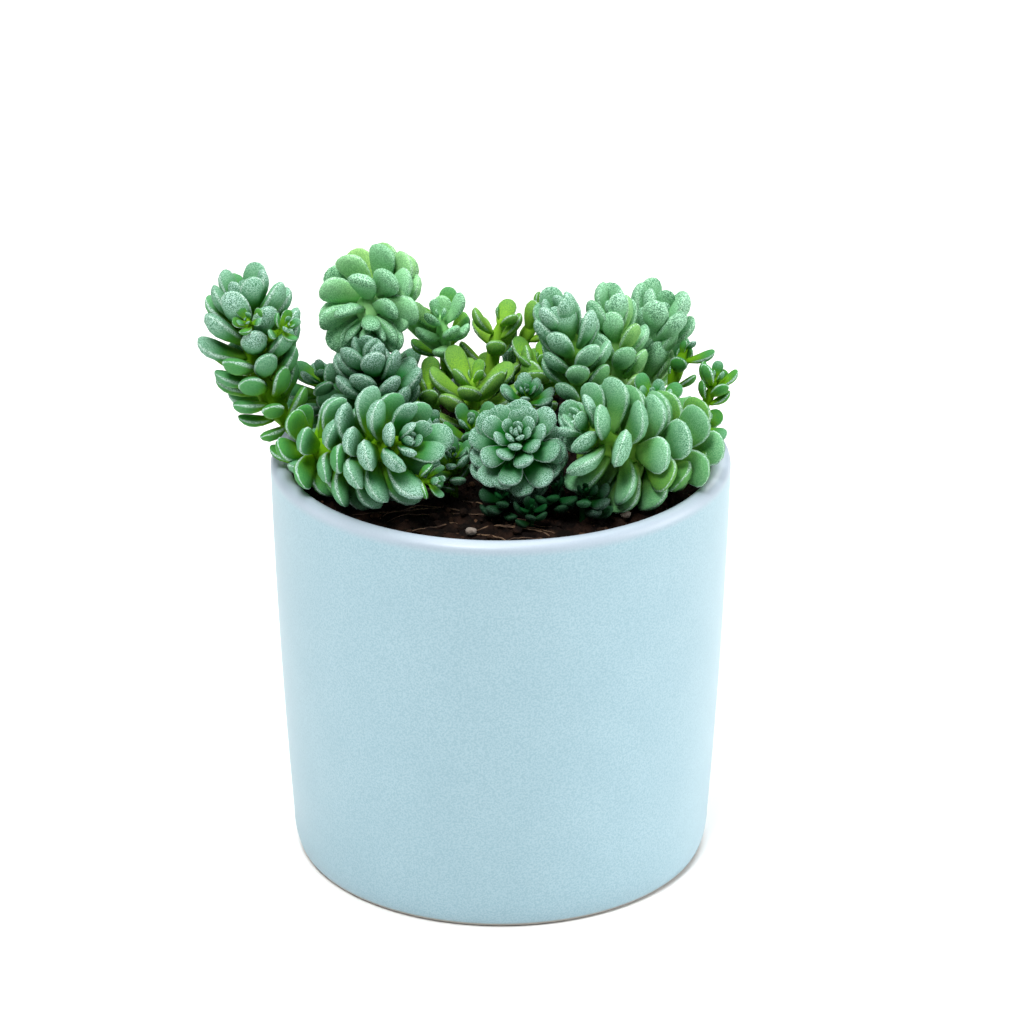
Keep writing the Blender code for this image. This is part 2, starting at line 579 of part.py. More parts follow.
def stem_tube(shoot, name):
    """The stem: a round tube with filled ends along the stem's line."""
    line = stem_path(shoot)
    curve = bpy.data.curves.new(name, "CURVE")
    curve.dimensions = "3D"
    curve.bevel_depth = 1.0
    curve.bevel_resolution = 1
    curve.use_fill_caps = True
    spline = curve.splines.new("POLY")
    spline.points.add(len(line) - 1)
    radii = stem_radius(shoot, from_tip(line))
    for point, place, radius in zip(spline.points, line, radii):
        point.co = (*place, 1)
        point.radius = radius
    guide = bpy.data.objects.new(name, curve)
    bpy.context.scene.collection.objects.link(guide)
    depsgraph = bpy.context.evaluated_depsgraph_get()
    mesh = bpy.data.meshes.new_from_object(guide.evaluated_get(depsgraph))
    bpy.data.objects.remove(guide)
    welded = bmesh.new()
    welded.from_mesh(mesh)
    bmesh.ops.remove_doubles(welded, verts=welded.verts, dist=0.00001)
    bmesh.ops.recalc_face_normals(welded, faces=welded.faces)
    welded.to_mesh(mesh)
    welded.free()
    return bpy.data.objects.new(name, mesh)


def islands(shape):
    """The separate bodies of a mesh, as lists of faces."""
    left = set(shape.faces)
    while left:
        stack = [left.pop()]
        body = []
        while stack:
            face = stack.pop()
            body.append(face)
            for edge in face.edges:
                for other in edge.link_faces:
                    if other in left:
                        left.remove(other)
                        stack.append(other)
        yield body


def volume(faces):
    """Signed volume that a body's faces enclose."""
    total = 0.0
    for face in faces:
        first = face.verts[0].co
        for a, b in zip(face.verts[1:-1], face.verts[2:]):
            total += first.dot(a.co.cross(b.co)) / 6
    return total


def keep_largest_body(shape):
    """Drops loose scraps, and fills sealed hollows by dropping their walls."""
    bodies = sorted(islands(shape), key=volume)
    for body in bodies[:-1]:
        bmesh.ops.delete(shape, geom=body, context="FACES")
    bmesh.ops.delete(shape, geom=[v for v in shape.verts if not v.link_faces], context="VERTS")


def tidied(thing):
    """Leaves a joined body as triangles without scraps, hollows and slivers."""
    shape = bmesh.new()
    shape.from_mesh(thing.data)
    keep_largest_body(shape)
    bmesh.ops.triangulate(shape, faces=shape.faces)
    bmesh.ops.dissolve_degenerate(shape, dist=WELD, edges=shape.edges)
    bmesh.ops.triangulate(shape, faces=shape.faces)
    shape.to_mesh(thing.data)
    shape.free()


def closed(mesh):
    """Whether each edge has just two faces, with points that all but meet taken as one."""
    mesh.calc_loop_triangles()
    points = np.array([v.co for v in mesh.vertices])
    triangles = np.array([t.vertices for t in mesh.loop_triangles])
    for offset in (0, 0.5):
        _, index = np.unique(np.round(points / SAME_POINT + offset).astype(int), axis=0, return_inverse=True)
        faces = index.reshape(-1)[triangles]
        a, b, c = faces.T
        faces = faces[(a != b) & (b != c) & (c != a)]
        ends = np.sort(np.concatenate([faces[:, [0, 1]], faces[:, [1, 2]], faces[:, [2, 0]]]), axis=1)
        _, count = np.unique(ends, axis=0, return_counts=True)
        if (count != 2).any():
            return False
    return True


def drop_fins(mesh):
    """Drops the loose edges and single standing faces that thinning can leave on a closed body."""
    shape = bmesh.new()
    shape.from_mesh(mesh)
    fins = [f for f in shape.faces if any(len(e.link_faces) == 1 for e in f.edges)]
    bmesh.ops.delete(shape, geom=fins, context="FACES")
    bmesh.ops.delete(shape, geom=[e for e in shape.edges if not e.link_faces], context="EDGES")
    keep_largest_body(shape)
    bmesh.ops.triangulate(shape, faces=shape.faces)
    shape.to_mesh(mesh)
    shape.free()


def thinned(thing):
    """Takes faces away from a joined body, by the nearest share that leaves it closed."""
    full = thing.data
    thin = thing.modifiers.new("Thin", "DECIMATE")
    steps = np.arange(THIN_TRIES) * THIN_STEP
    for kept in FACES_KEPT + np.stack([-steps, steps], axis=1).ravel()[1:]:
        thin.ratio = kept
        depsgraph = bpy.context.evaluated_depsgraph_get()
        mesh = bpy.data.meshes.new_from_object(thing.evaluated_get(depsgraph))
        drop_fins(mesh)
        if closed(mesh):
            break
        bpy.data.meshes.remove(mesh)
        mesh = full
    thing.modifiers.clear()
    thing.data = mesh


def leafy_stem(name, rows, parts, finish):
    """One node: its stems and leaves joined into one body."""
    pieces = new_collection(name + "_pieces")
    thing = None
    for number, (shoot, frames) in enumerate(rows):
        tube = stem_tube(shoot, name if thing is None else f"{name}_side_{number}")
        if thing is None:
            thing = tube
        else:
            pieces.objects.link(tube)
        for i, frame in enumerate(frames):
            pieces.objects.link(leaf_mesh(frame, f"{name}_leaf_{number}_{i}"))
    parts.objects.link(thing)
    join = thing.modifiers.new("Join", "BOOLEAN")
    join.operation = "UNION"
    join.solver = "MANIFOLD"
    join.operand_type = "COLLECTION"
    join.collection = pieces
    make_mesh(thing)
    for piece in list(pieces.objects):
        bpy.data.objects.remove(piece)
    bpy.data.collections.remove(pieces)
    tidied(thing)
    thinned(thing)
    thing.data.materials.clear()
    thing.data.materials.append(finish)
    thing.data.polygons.foreach_set("material_index", [0] * len(thing.data.polygons))
    thing.data.shade_smooth()
    thing.data.set_sharp_from_angle(angle=SHARP_ANGLE)
    return thing


def main():
    empty_scene()
    parts = new_collection("potted_sedum")
    cutters = new_collection("cutters")
    stands = [(shoot["path"][0][0] * MM, shoot["path"][0][1] * MM, shoot["stem"] * MM)
              for shoot in SHOOTS if shoot["path"][0][2] == 0]
    pot(parts)
    soil(parts, cutters, stands)
    grit_finish = material("grit", GRIT_COLOUR, 0.9)
    for number, (x, y, size) in enumerate(GRIT, start=1):
        grit(number, x * MM, y * MM, size * MM, parts, grit_finish)
    leaf_finish = material("leaf", LEAF_COLOUR, 0.6)
    settled = settle_leaves()
    names = []
    for shoot in SHOOTS:
        if shoot["node"] not in names:
            names.append(shoot["node"])
    for name in names:
        rows = [(shoot, frames) for shoot, frames in zip(SHOOTS, settled) if shoot["node"] == name]
        leafy_stem(name, rows, parts, leaf_finish)


main()
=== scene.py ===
import math

import bpy
import numpy as np
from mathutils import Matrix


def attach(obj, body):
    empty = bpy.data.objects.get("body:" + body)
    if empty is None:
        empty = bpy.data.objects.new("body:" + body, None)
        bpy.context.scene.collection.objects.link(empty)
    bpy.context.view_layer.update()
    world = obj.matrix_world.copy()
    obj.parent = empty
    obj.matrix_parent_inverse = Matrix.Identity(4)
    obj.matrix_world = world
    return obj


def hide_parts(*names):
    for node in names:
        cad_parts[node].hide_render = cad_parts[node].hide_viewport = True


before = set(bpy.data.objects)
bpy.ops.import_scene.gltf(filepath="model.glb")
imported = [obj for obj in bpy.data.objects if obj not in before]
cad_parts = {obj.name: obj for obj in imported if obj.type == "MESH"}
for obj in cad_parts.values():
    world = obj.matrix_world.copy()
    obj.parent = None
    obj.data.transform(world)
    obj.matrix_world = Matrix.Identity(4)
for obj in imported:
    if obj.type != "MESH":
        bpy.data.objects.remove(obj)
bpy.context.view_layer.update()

# Pot
# One thrown piece of pale blue glazed ceramic with a round rim, slightly bellied sides and a
# rounded base corner. The glaze is satin and finely mottled, thinner and greyer over the rim, and
# stops just short of the flat foot, which is bare clay.
MM = 0.001
POT_HEIGHT, RIM_RADIUS, BASE_RADIUS, BELLY = 64.85 * MM, 35.0 * MM, 32.07 * MM, 0.45 * MM
WALL, POT_FLOOR, LIP = 3.0 * MM, 5.0 * MM, 1.5 * MM
BASE_CORNER_HEIGHT, BASE_CORNER_INSET, INNER_CORNER = 5.5 * MM, 1.6 * MM, 4.0 * MM
FLOOR_STEPS, INSIDE_STEPS, RIM_STEPS, OUTSIDE_STEPS, BASE_STEPS = 8, 30, 15, 46, 12
FOOT_RING_SHARE = 0.8
POT_SIDES = 144
OUT_OF_ROUND, OVAL_PHASE = 0.0012, 0.6


def pot_radius(z):
    """Outer radius at height z: a straight taper from base to rim plus a parabola's belly."""
    share = z / POT_HEIGHT
    return BASE_RADIUS + (RIM_RADIUS - BASE_RADIUS) * share + BELLY * 4 * share * (1 - share)


def pot_section():
    """The wall's section as (radius, height): up the inside, over the half-round rim, down the
    outside, round the quarter-ellipse base corner and across the foot."""
    rim = POT_HEIGHT - LIP
    inner = pot_radius(POT_FLOOR) - WALL
    bend = np.linspace(0, np.pi / 2, FLOOR_STEPS)
    corner = np.stack([inner - INNER_CORNER * (1 - np.sin(bend)),
                       POT_FLOOR + INNER_CORNER * (1 - np.cos(bend))], axis=1)
    up = np.linspace(POT_FLOOR + INNER_CORNER, rim, INSIDE_STEPS)[1:-1]
    over = np.linspace(np.pi, 0, RIM_STEPS)
    down = np.linspace(rim, BASE_CORNER_HEIGHT, OUTSIDE_STEPS)[1:]
    foot = pot_radius(BASE_CORNER_HEIGHT) - BASE_CORNER_INSET
    round_base = np.linspace(0, np.pi / 2, BASE_STEPS)[1:]
    return np.vstack([
        [(0, POT_FLOOR), (inner / 2, POT_FLOOR)], corner,
        np.stack([pot_radius(up) - WALL, up], axis=1),
        np.stack([pot_radius(rim) - LIP + LIP * np.cos(over), rim + LIP * np.sin(over)], axis=1),
        np.stack([pot_radius(down), down], axis=1),
        np.stack([foot + BASE_CORNER_INSET * np.cos(round_base),
                  BASE_CORNER_HEIGHT * (1 - np.sin(round_base))], axis=1),
        [(foot * FOOT_RING_SHARE, 0), (0, 0)]])


def closed_skin(rings, first_pole, last_pole):
    """Points and faces of closed skins. rings is (skins, rings, sides, 3); each skin is closed at
    its two ends by a fan of triangles round a pole, and its faces point outwards when the sides
    turn counter-clockwise seen from the last pole."""
    skins, bands, sides = rings.shape[:3]
    points = np.concatenate([first_pole[:, None], rings.reshape(skins, -1, 3), last_pole[:, None]],
                            axis=1)
    start = np.arange(skins)[:, None, None] * (bands * sides + 2)
    j = np.arange(sides)
    following = (j + 1) % sides
    k = np.arange(bands - 1)[:, None] * sides + 1
    quads = np.stack([k + j, k + following, k + sides + following, k + sides + j], axis=-1)
    quads = (start[..., None] + quads[None]).reshape(-1, 4)
    last = (bands - 1) * sides + 1
    roots = np.stack([0 * j, 1 + following, 1 + j], axis=-1)
    tips = np.stack([0 * j + last + sides, last + j, last + following], axis=-1)
    fans = (start + np.concatenate([roots, tips])[None]).reshape(-1, 3)
    return points.reshape(-1, 3), quads, fans


def piece(name, points, quads, fans, finish, slot, *nodes):
    """A smooth mesh object at the origin that rides on the root body and stands for CAD nodes."""
    mesh = bpy.data.meshes.new(name)
    corners = np.concatenate([quads.ravel(), fans.ravel()]).astype(np.int32)
    sizes = np.concatenate([np.full(len(quads), 4), np.full(len(fans), 3)])
    mesh.vertices.add(len(points))
    mesh.vertices.foreach_set("co", points.astype(np.float32).ravel())
    mesh.loops.add(len(corners))
    mesh.loops.foreach_set("vertex_index", corners)
    mesh.polygons.add(len(sizes))
    starts = np.concatenate([[0], np.cumsum(sizes)[:-1]]).astype(np.int32)
    mesh.polygons.foreach_set("loop_start", starts)
    mesh.update(calc_edges=True)
    mesh.validate()
    mesh.shade_smooth()
    mesh.materials.append(finish)
    thing = bpy.data.objects.new(name, mesh)
    bpy.context.scene.collection.objects.link(thing)
    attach(thing, "root")
    if nodes:
        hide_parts(*nodes)
    return thing


def finish_nodes(name, roughness):
    """A new Principled finish, with a short way to add a node and to link or set its inputs. A
    roughness that nodes vary is linked over the one given here."""
    finish = bpy.data.materials.new(name)
    finish.use_nodes = True
    tree = finish.node_tree
    shader = tree.nodes["Principled BSDF"]
    shader.inputs["Roughness"].default_value = roughness

    def add(kind, inputs=None, **settings):
        node = tree.nodes.new(kind)
        for key, value in settings.items():
            setattr(node, key, value)
        for key, value in (inputs or {}).items():
            if isinstance(value, bpy.types.NodeSocket):
                tree.links.new(value, node.inputs[key])
            else:
                node.inputs[key].default_value = value
        return node

    return finish, tree, shader, add


def ramp(add, value, low, high, to_low=0.0, to_high=1.0):
    """A value that runs smoothly from to_low at low to to_high at high."""
    return add("ShaderNodeMapRange", {"Value": value, "From Min": low, "From Max": high,
                                      "To Min": to_low, "To Max": to_high},
               interpolation_type="SMOOTHSTEP").outputs["Result"]


def blend(add, share, first, second):
    """The first colour turned into the second by a share, as mixed paint."""
    return add("ShaderNodeMix", {0: share, 6: first, 7: second}, data_type="RGBA").outputs[2]


def noise(add, place, scale, detail):
    """Noise from 0 to 1 with scale cells to the metre; detail adds finer and finer layers."""
    texture = add("ShaderNodeTexNoise", {"Vector": place, "Scale": scale, "Detail": detail})
    return texture.outputs["Fac"]


def bumped(add, tree, shader, height, strength, distance):
    """Gives a finish a bump from a height value; distance is the depth of a height of 1."""
    relief = add("ShaderNodeBump", {"Height": height, "Strength": strength, "Distance": distance})
    tree.links.new(relief.outputs["Normal"], shader.inputs["Normal"])


GLAZE, GLAZE_DEEP = (0.333, 0.486, 0.548, 1), (0.20, 0.35, 0.42, 1)
GLAZE_THIN, BARE_FOOT = (0.37, 0.42, 0.49, 1), (0.30, 0.28, 0.25, 1)
THIN_FROM, THIN_TO = 62.6 * MM, 64.2 * MM
GLAZE_ENDS, FOOT_STARTS = 0.9 * MM, 0.5 * MM
glaze, tree, shader, add = finish_nodes("pale_blue_glaze", 0.42)
place = add("ShaderNodeTexCoord").outputs["Object"]
cloud, speck = noise(add, place, 140.0, 3.0), noise(add, place, 3800.0, 2.0)
height = add("ShaderNodeSeparateXYZ", {"Vector": place}).outputs["Z"]
body = blend(add, ramp(add, cloud, 0.3, 0.7, 0, 0.12), GLAZE, GLAZE_DEEP)
body = blend(add, ramp(add, speck, 0.64, 0.34, 0, 0.6), body, GLAZE_DEEP)
body = blend(add, ramp(add, height, THIN_FROM, THIN_TO, 0, 0.8), body, GLAZE_THIN)
body = blend(add, ramp(add, height, GLAZE_ENDS, FOOT_STARTS), body, BARE_FOOT)
tree.links.new(body, shader.inputs["Base Color"])
tree.links.new(ramp(add, speck, 0.3, 0.7, 0.36, 0.5), shader.inputs["Roughness"])
bumped(add, tree, shader, speck, 0.12, 0.05 * MM)
shader.inputs["Coat Weight"].default_value = 0.12
shader.inputs["Coat Roughness"].default_value = 0.3

section = pot_section()
angle = -np.arange(POT_SIDES) * 2 * np.pi / POT_SIDES
upward = np.clip(section[1:-1, 1:] / POT_HEIGHT, 0, 1)
ring = section[1:-1, :1] * (1 + OUT_OF_ROUND * np.sin(2 * angle + OVAL_PHASE) * upward)
walls = np.stack([ring * np.cos(angle), ring * np.sin(angle),
                  np.broadcast_to(section[1:-1, 1:], ring.shape)], axis=-1)[None]
poles = np.array([[[0, 0, section[0, 1]]], [[0, 0, section[-1, 1]]]])
piece("glazed_pot", *closed_skin(walls, *poles), glaze, "glazed_pot", "pot")

# Soil
# Dark peat compost, darkened further by painted shade, with coarse crumbs and fine tan roots on
# its face. It fills the pot to just under the rim, a little higher in the middle, and the stems are
# rooted in it.
GAP = 0.3 * MM
SOIL_EDGE, MOUND, RIPPLE = 62.4 * MM, 0.9 * MM, 0.35 * MM
SOIL_RADIUS = RIM_RADIUS - WALL - GAP
RIPPLE_LENGTHS = (4.1 * MM, 5.3 * MM, 2.3 * MM, 3.1 * MM)
RIPPLE_PHASES, SECOND_RIPPLE = (0.7, 0.4), 0.6
CRUMBLE_SEED, CRUMBLE_WAVES, CRUMBLE_HEIGHT = 7, 40, 0.06 * MM
SHORTEST_CRUMBLE, LONGEST_CRUMBLE = 0.9 * MM, 3.4 * MM


def soil_height(x, y):
    """Height of the packed soil: a low round mound, which falls as the square of the distance from
    the middle, with two sets of crossed sine ripples that fade out with it at the wall."""
    share = np.minimum((x * x + y * y) / SOIL_RADIUS**2, 1)
    a, b, c, d = RIPPLE_LENGTHS
    first, second = RIPPLE_PHASES
    wave = np.sin(x / a + first) * np.cos(y / b - second) + SECOND_RIPPLE * np.sin(x / c - y / d)
    return SOIL_EDGE + (MOUND + RIPPLE * wave) * (1 - share)


def crumbly(x, y):
    """The soil's height with short seeded sine waves of all bearings added, for its loose face."""
    draw = np.random.default_rng(CRUMBLE_SEED)
    turn, phase = draw.uniform(0, 2 * np.pi, (2, CRUMBLE_WAVES))
    wave = 2 * np.pi / draw.uniform(SHORTEST_CRUMBLE, LONGEST_CRUMBLE, CRUMBLE_WAVES)
    across = np.multiply.outer(x, wave * np.cos(turn)) + np.multiply.outer(y, wave * np.sin(turn))
    return soil_height(x, y) + CRUMBLE_HEIGHT * np.sin(across + phase).sum(axis=-1)


def tinted(thing, name, values, kind="FLOAT"):
    """Stores one value or vector for each point of a piece, for its finish to read."""
    layer = thing.data.attributes.new(name, kind, "POINT")
    key = "value" if kind == "FLOAT" else "vector"
    layer.data.foreach_set(key, np.asarray(values, np.float32).ravel())


def maths(add, how, first, second):
    """Two values joined by a sum, product or other operation."""
    return add("ShaderNodeMath", {0: first, 1: second}, operation=how).outputs[0]


# Peat is near black, mixed with brown by noise, and with dry brown by each crumb's own tint. The
# black and the brown are partly the peat's own dark colour and partly painted shade of the plant
# over the soil.
BLACK_PEAT_AND_SHADE, BROWN_PEAT_AND_SHADE = (0.004, 0.0025, 0.002, 1), (0.022, 0.011, 0.007, 1)
DRY_PEAT = (0.075, 0.04, 0.022, 1)
peat, tree, shader, add = finish_nodes("peat", 0.95)
place = add("ShaderNodeTexCoord").outputs["Object"]
patch = noise(add, place, 420.0, 6.0)
grain = add("ShaderNodeTexVoronoi", {"Vector": place, "Scale": 1500.0}).outputs["Distance"]
tint = add("ShaderNodeAttribute", attribute_name="tint").outputs["Fac"]
# The peat's own dark colour, darkened further as painted shade.
dark = blend(add, ramp(add, patch, 0.4, 0.7), BLACK_PEAT_AND_SHADE, BROWN_PEAT_AND_SHADE)
tree.links.new(blend(add, tint, dark, DRY_PEAT), shader.inputs["Base Color"])
bumped(add, tree, shader, maths(add, "ADD", patch, grain), 0.9, 0.35 * MM)
shader.inputs["Specular IOR Level"].default_value = 0.08

# The bed: a round grid for its face, then four rings down its side to the pot's floor.
RINGS, SPOKES = 70, 220
SIDE_TOP, TAPER_START, CORNER_CUT = 1.5 * MM, 20 * MM, 1.8
r = np.linspace(0, 1, RINGS)[1:] * SOIL_RADIUS
angle = np.arange(SPOKES) * 2 * np.pi / SPOKES
x, y = r[:, None] * np.cos(angle), r[:, None] * np.sin(angle)
top = np.stack([x, y, crumbly(x, y)], axis=-1)
inner = pot_radius(POT_FLOOR) - WALL
side = np.array([(SOIL_RADIUS, SOIL_EDGE - SIDE_TOP),
                 (pot_radius(TAPER_START) - WALL - GAP, TAPER_START),
                 (inner - INNER_CORNER, POT_FLOOR + GAP + INNER_CORNER / 2),
                 (inner - INNER_CORNER * CORNER_CUT, POT_FLOOR + GAP)])
low = np.stack([side[:, :1] * np.cos(angle), side[:, :1] * np.sin(angle),
                np.broadcast_to(side[:, 1:], (len(side), SPOKES))], axis=-1)
skin = np.concatenate([top, low])[::-1][None]
poles = np.array([[[0, 0, POT_FLOOR + GAP]], [[0, 0, crumbly(0.0, 0.0)]]])
bed = piece("soil_bed", *closed_skin(skin, *poles), peat, "soil", "soil")
tinted(bed, "tint", np.zeros(len(bed.data.vertices)))

# Loose crumbs: small balls of a few rings, stretched and dented by seeded draws, few of them big.
CRUMBS, CRUMB_RINGS, CRUMB_SIDES, CRUMB_SEED = 620, 4, 6, 11
SMALLEST_CRUMB, CRUMB_RANGE, EDGE_KEPT_FREE = 0.22 * MM, 0.75 * MM, 1.0 * MM
CRUMB_LIFT, CRUMB_FLATNESS, CRUMB_END = 0.25, 0.75, 0.7
CRUMB_STRETCH, CRUMB_DENTS = (0.6, 1.3), (0.75, 1.2)
draw = np.random.default_rng(CRUMB_SEED)
far = np.sqrt(draw.uniform(0, 1, CRUMBS)) * (SOIL_RADIUS - EDGE_KEPT_FREE)
turn = draw.uniform(0, 2 * np.pi, CRUMBS)
size = SMALLEST_CRUMB + CRUMB_RANGE * draw.uniform(0, 1, CRUMBS)**3
x, y = far * np.cos(turn), far * np.sin(turn)
middle = np.stack([x, y, crumbly(x, y) + CRUMB_LIFT * size], axis=1)
polar = np.linspace(0, np.pi, CRUMB_RINGS + 2)[1:-1]
angle = np.arange(CRUMB_SIDES) * 2 * np.pi / CRUMB_SIDES
ball = np.stack([np.outer(np.sin(polar), np.cos(angle)), np.outer(np.sin(polar), np.sin(angle)),
                 np.outer(-np.cos(polar), np.ones(CRUMB_SIDES))], axis=-1)
stretch = draw.uniform(*CRUMB_STRETCH, (CRUMBS, 1, 1, 3)) * (1, 1, CRUMB_FLATNESS)
dents = draw.uniform(*CRUMB_DENTS, (CRUMBS, CRUMB_RINGS, CRUMB_SIDES, 1))
lumps = ball[None] * stretch * dents * size[:, None, None, None] + middle[:, None, None]
ends = size[:, None] * (0, 0, CRUMB_END)
crumbs = piece("soil_crumbs", *closed_skin(lumps, middle - ends, middle + ends), peat, "soil")
tinted(crumbs, "tint", np.repeat(draw.uniform(0, 1, CRUMBS)**3, CRUMB_RINGS * CRUMB_SIDES + 2))

# No root or stem runs this way, so the sides of each are worked out from it.
ACROSS_STEMS = (0.31, 0.95, 0.12)


def tube(lines, radii, sides):
    """Round tubes: each line's points carry a circle of the given radius, square to the line, and
    a point half a radius past each end closes it. lines is (tubes, points, 3) and radii (tubes,
    points)."""
    along = np.gradient(lines, axis=1)
    along /= np.linalg.norm(along, axis=-1, keepdims=True)
    first = np.cross(along, ACROSS_STEMS)
    first /= np.linalg.norm(first, axis=-1, keepdims=True)
    second = np.cross(along, first)
    turn = np.arange(sides) * 2 * np.pi / sides
    spoke = first[:, :, None] * np.cos(turn)[:, None] + second[:, :, None] * np.sin(turn)[:, None]
    rings = lines[:, :, None] + radii[:, :, None, None] * spoke
    out = radii[:, [0, -1], None] * along[:, [0, -1]] * 0.5
    return closed_skin(rings, lines[:, 0] - out[:, 0], lines[:, -1] + out[:, 1])


# Fine roots: wandering tubes that rise out of the soil, lie on it and go in again. Over half of
# them lie on the bare patch at the front, the others anywhere. A root turns a little at each
# point, and lies on the mean height of a few points of soil. Patch, steps, lift and radii are in
# millimetres.
ROOTS, FRONT_ROOTS, ROOT_POINTS, ROOT_SIDES = 22, 12, 26, 5
PATCH_LEFT, PATCH_RIGHT, PATCH_FRONT, PATCH_BACK = -14, 12, -28, -16
ROOTS_REACH, ROOTS_EDGE, ROOT_SEED = 24 * MM, 0.8 * MM, 23
ROOT_BEARING, ROOT_WANDER, ROOT_STEPS, MEAN_OVER = 0.6, 0.08, (0.25, 0.6), 7
ROOT_LIFT, ROOT_DIP, ROOT_RADII, ROOT_TAPER = 0.6, 0.2, (0.07, 0.17), 0.6
ROOT_DARK, ROOT_TAN = (0.045, 0.022, 0.011, 1), (0.13, 0.075, 0.038, 1)
root_finish, tree, shader, add = finish_nodes("tan_root", 0.75)
streak = noise(add, add("ShaderNodeTexCoord").outputs["Object"], 500.0, 3.0)
tree.links.new(blend(add, ramp(add, streak, 0.35, 0.65), ROOT_DARK, ROOT_TAN),
               shader.inputs["Base Color"])
draw = np.random.default_rng(ROOT_SEED)
far = np.sqrt(draw.uniform(0, 1, ROOTS)) * ROOTS_REACH
turn = draw.uniform(0, 2 * np.pi, ROOTS)
front = np.arange(ROOTS) < FRONT_ROOTS
x = np.where(front, draw.uniform(PATCH_LEFT, PATCH_RIGHT, ROOTS) * MM, far * np.cos(turn))
y = np.where(front, draw.uniform(PATCH_FRONT, PATCH_BACK, ROOTS) * MM, far * np.sin(turn))
bearing = draw.uniform(-ROOT_BEARING, ROOT_BEARING, ROOTS)
bearing = bearing + np.where(draw.uniform(0, 1, ROOTS) < 0.5, 0, np.pi)
bearing = bearing[:, None] + np.cumsum(draw.normal(0, ROOT_WANDER, (ROOTS, ROOT_POINTS)), axis=1)
steps = np.stack([np.cos(bearing), np.sin(bearing)], axis=-1)
steps = steps * (draw.uniform(*ROOT_STEPS, (ROOTS, 1, 1)) * MM)
flat = np.stack([x, y], axis=1)[:, None] + np.cumsum(steps, axis=1)
flat *= np.minimum(1, (SOIL_RADIUS - ROOTS_EDGE) / np.linalg.norm(flat, axis=-1, keepdims=True))
t = np.linspace(0, 1, ROOT_POINTS)
lift = (ROOT_LIFT * np.sin(np.pi * t)**0.5 - ROOT_DIP) * MM
ground = crumbly(flat[..., 0], flat[..., 1])
ground = np.pad(ground, ((0, 0), (MEAN_OVER // 2, MEAN_OVER // 2)), mode="edge")
ground = sum(ground[:, shift:shift + ROOT_POINTS] for shift in range(MEAN_OVER)) / MEAN_OVER
lines = np.concatenate([flat, (ground + lift)[..., None]], axis=-1)
radii = draw.uniform(*ROOT_RADII, (ROOTS, 1)) * MM * (1 - ROOT_TAPER * t)
piece("soil_roots", *tube(lines, radii, ROOT_SIDES), root_finish, "soil")

# Grit
# Three crumbs of pumice that lie on the soil near the front, pale under a stain of peat, each worn
# to a lump of its own. GRIT gives each one's place and size in millimetres.
GRIT = ((-11.2, -14.6, 1.2), (-4.4, -26.8, 0.8), (18.4, -20.8, 0.8))
GRIT_RINGS, GRIT_SIDES = 15, 24
GRIT_WIDTH, GRIT_FLATNESS, GRIT_LIFT = 0.8, 0.75, 0.2 * MM
THREE_LOBES, TWO_BANDS, FIVE_LOBES = 0.10, 0.09, 0.05
PALE_PUMICE, STAINED_PUMICE = (0.19, 0.16, 0.135, 1), (0.08, 0.058, 0.042, 1)
pumice, tree, shader, add = finish_nodes("pumice", 0.9)
place = add("ShaderNodeTexCoord").outputs["Object"]
pore = add("ShaderNodeTexVoronoi", {"Vector": place, "Scale": 2600.0}).outputs["Distance"]
pale = blend(add, ramp(add, noise(add, place, 900.0, 4.0), 0.4, 0.65), PALE_PUMICE, STAINED_PUMICE)
tree.links.new(pale, shader.inputs["Base Color"])
bumped(add, tree, shader, pore, 0.7, 0.15 * MM)
polar = np.linspace(0, np.pi, GRIT_RINGS + 2)[1:-1, None]
angle = np.arange(GRIT_SIDES) * 2 * np.pi / GRIT_SIDES
for number, (x, y, size) in enumerate(GRIT, start=1):
    x, y, size = x * MM, y * MM, size * MM
    a, b, c = np.random.default_rng(number).uniform(0, 6, 3)
    lump = 1 + THREE_LOBES * np.sin(3 * angle + a) * np.sin(polar)
    lump = lump + TWO_BANDS * np.cos(2 * polar + b)
    lump = lump + FIVE_LOBES * np.sin(5 * angle + 4 * polar + c) * np.sin(polar)
    rings = np.stack([lump * np.sin(polar) * np.cos(angle),
                      GRIT_WIDTH * lump * np.sin(polar) * np.sin(angle),
                      -GRIT_FLATNESS * lump * np.cos(polar)], axis=-1) * size
    middle = np.array([x, y, soil_height(x, y) + GRIT_FLATNESS * size + GRIT_LIFT])
    ends = np.array([0, 0, GRIT_FLATNESS * size * (1 + TWO_BANDS * math.cos(b))])
    skin = closed_skin((rings + middle)[None], (middle - ends)[None], (middle + ends)[None])
    piece(f"pumice_{number}", *skin, pumice, "grit", f"grit_{number}")
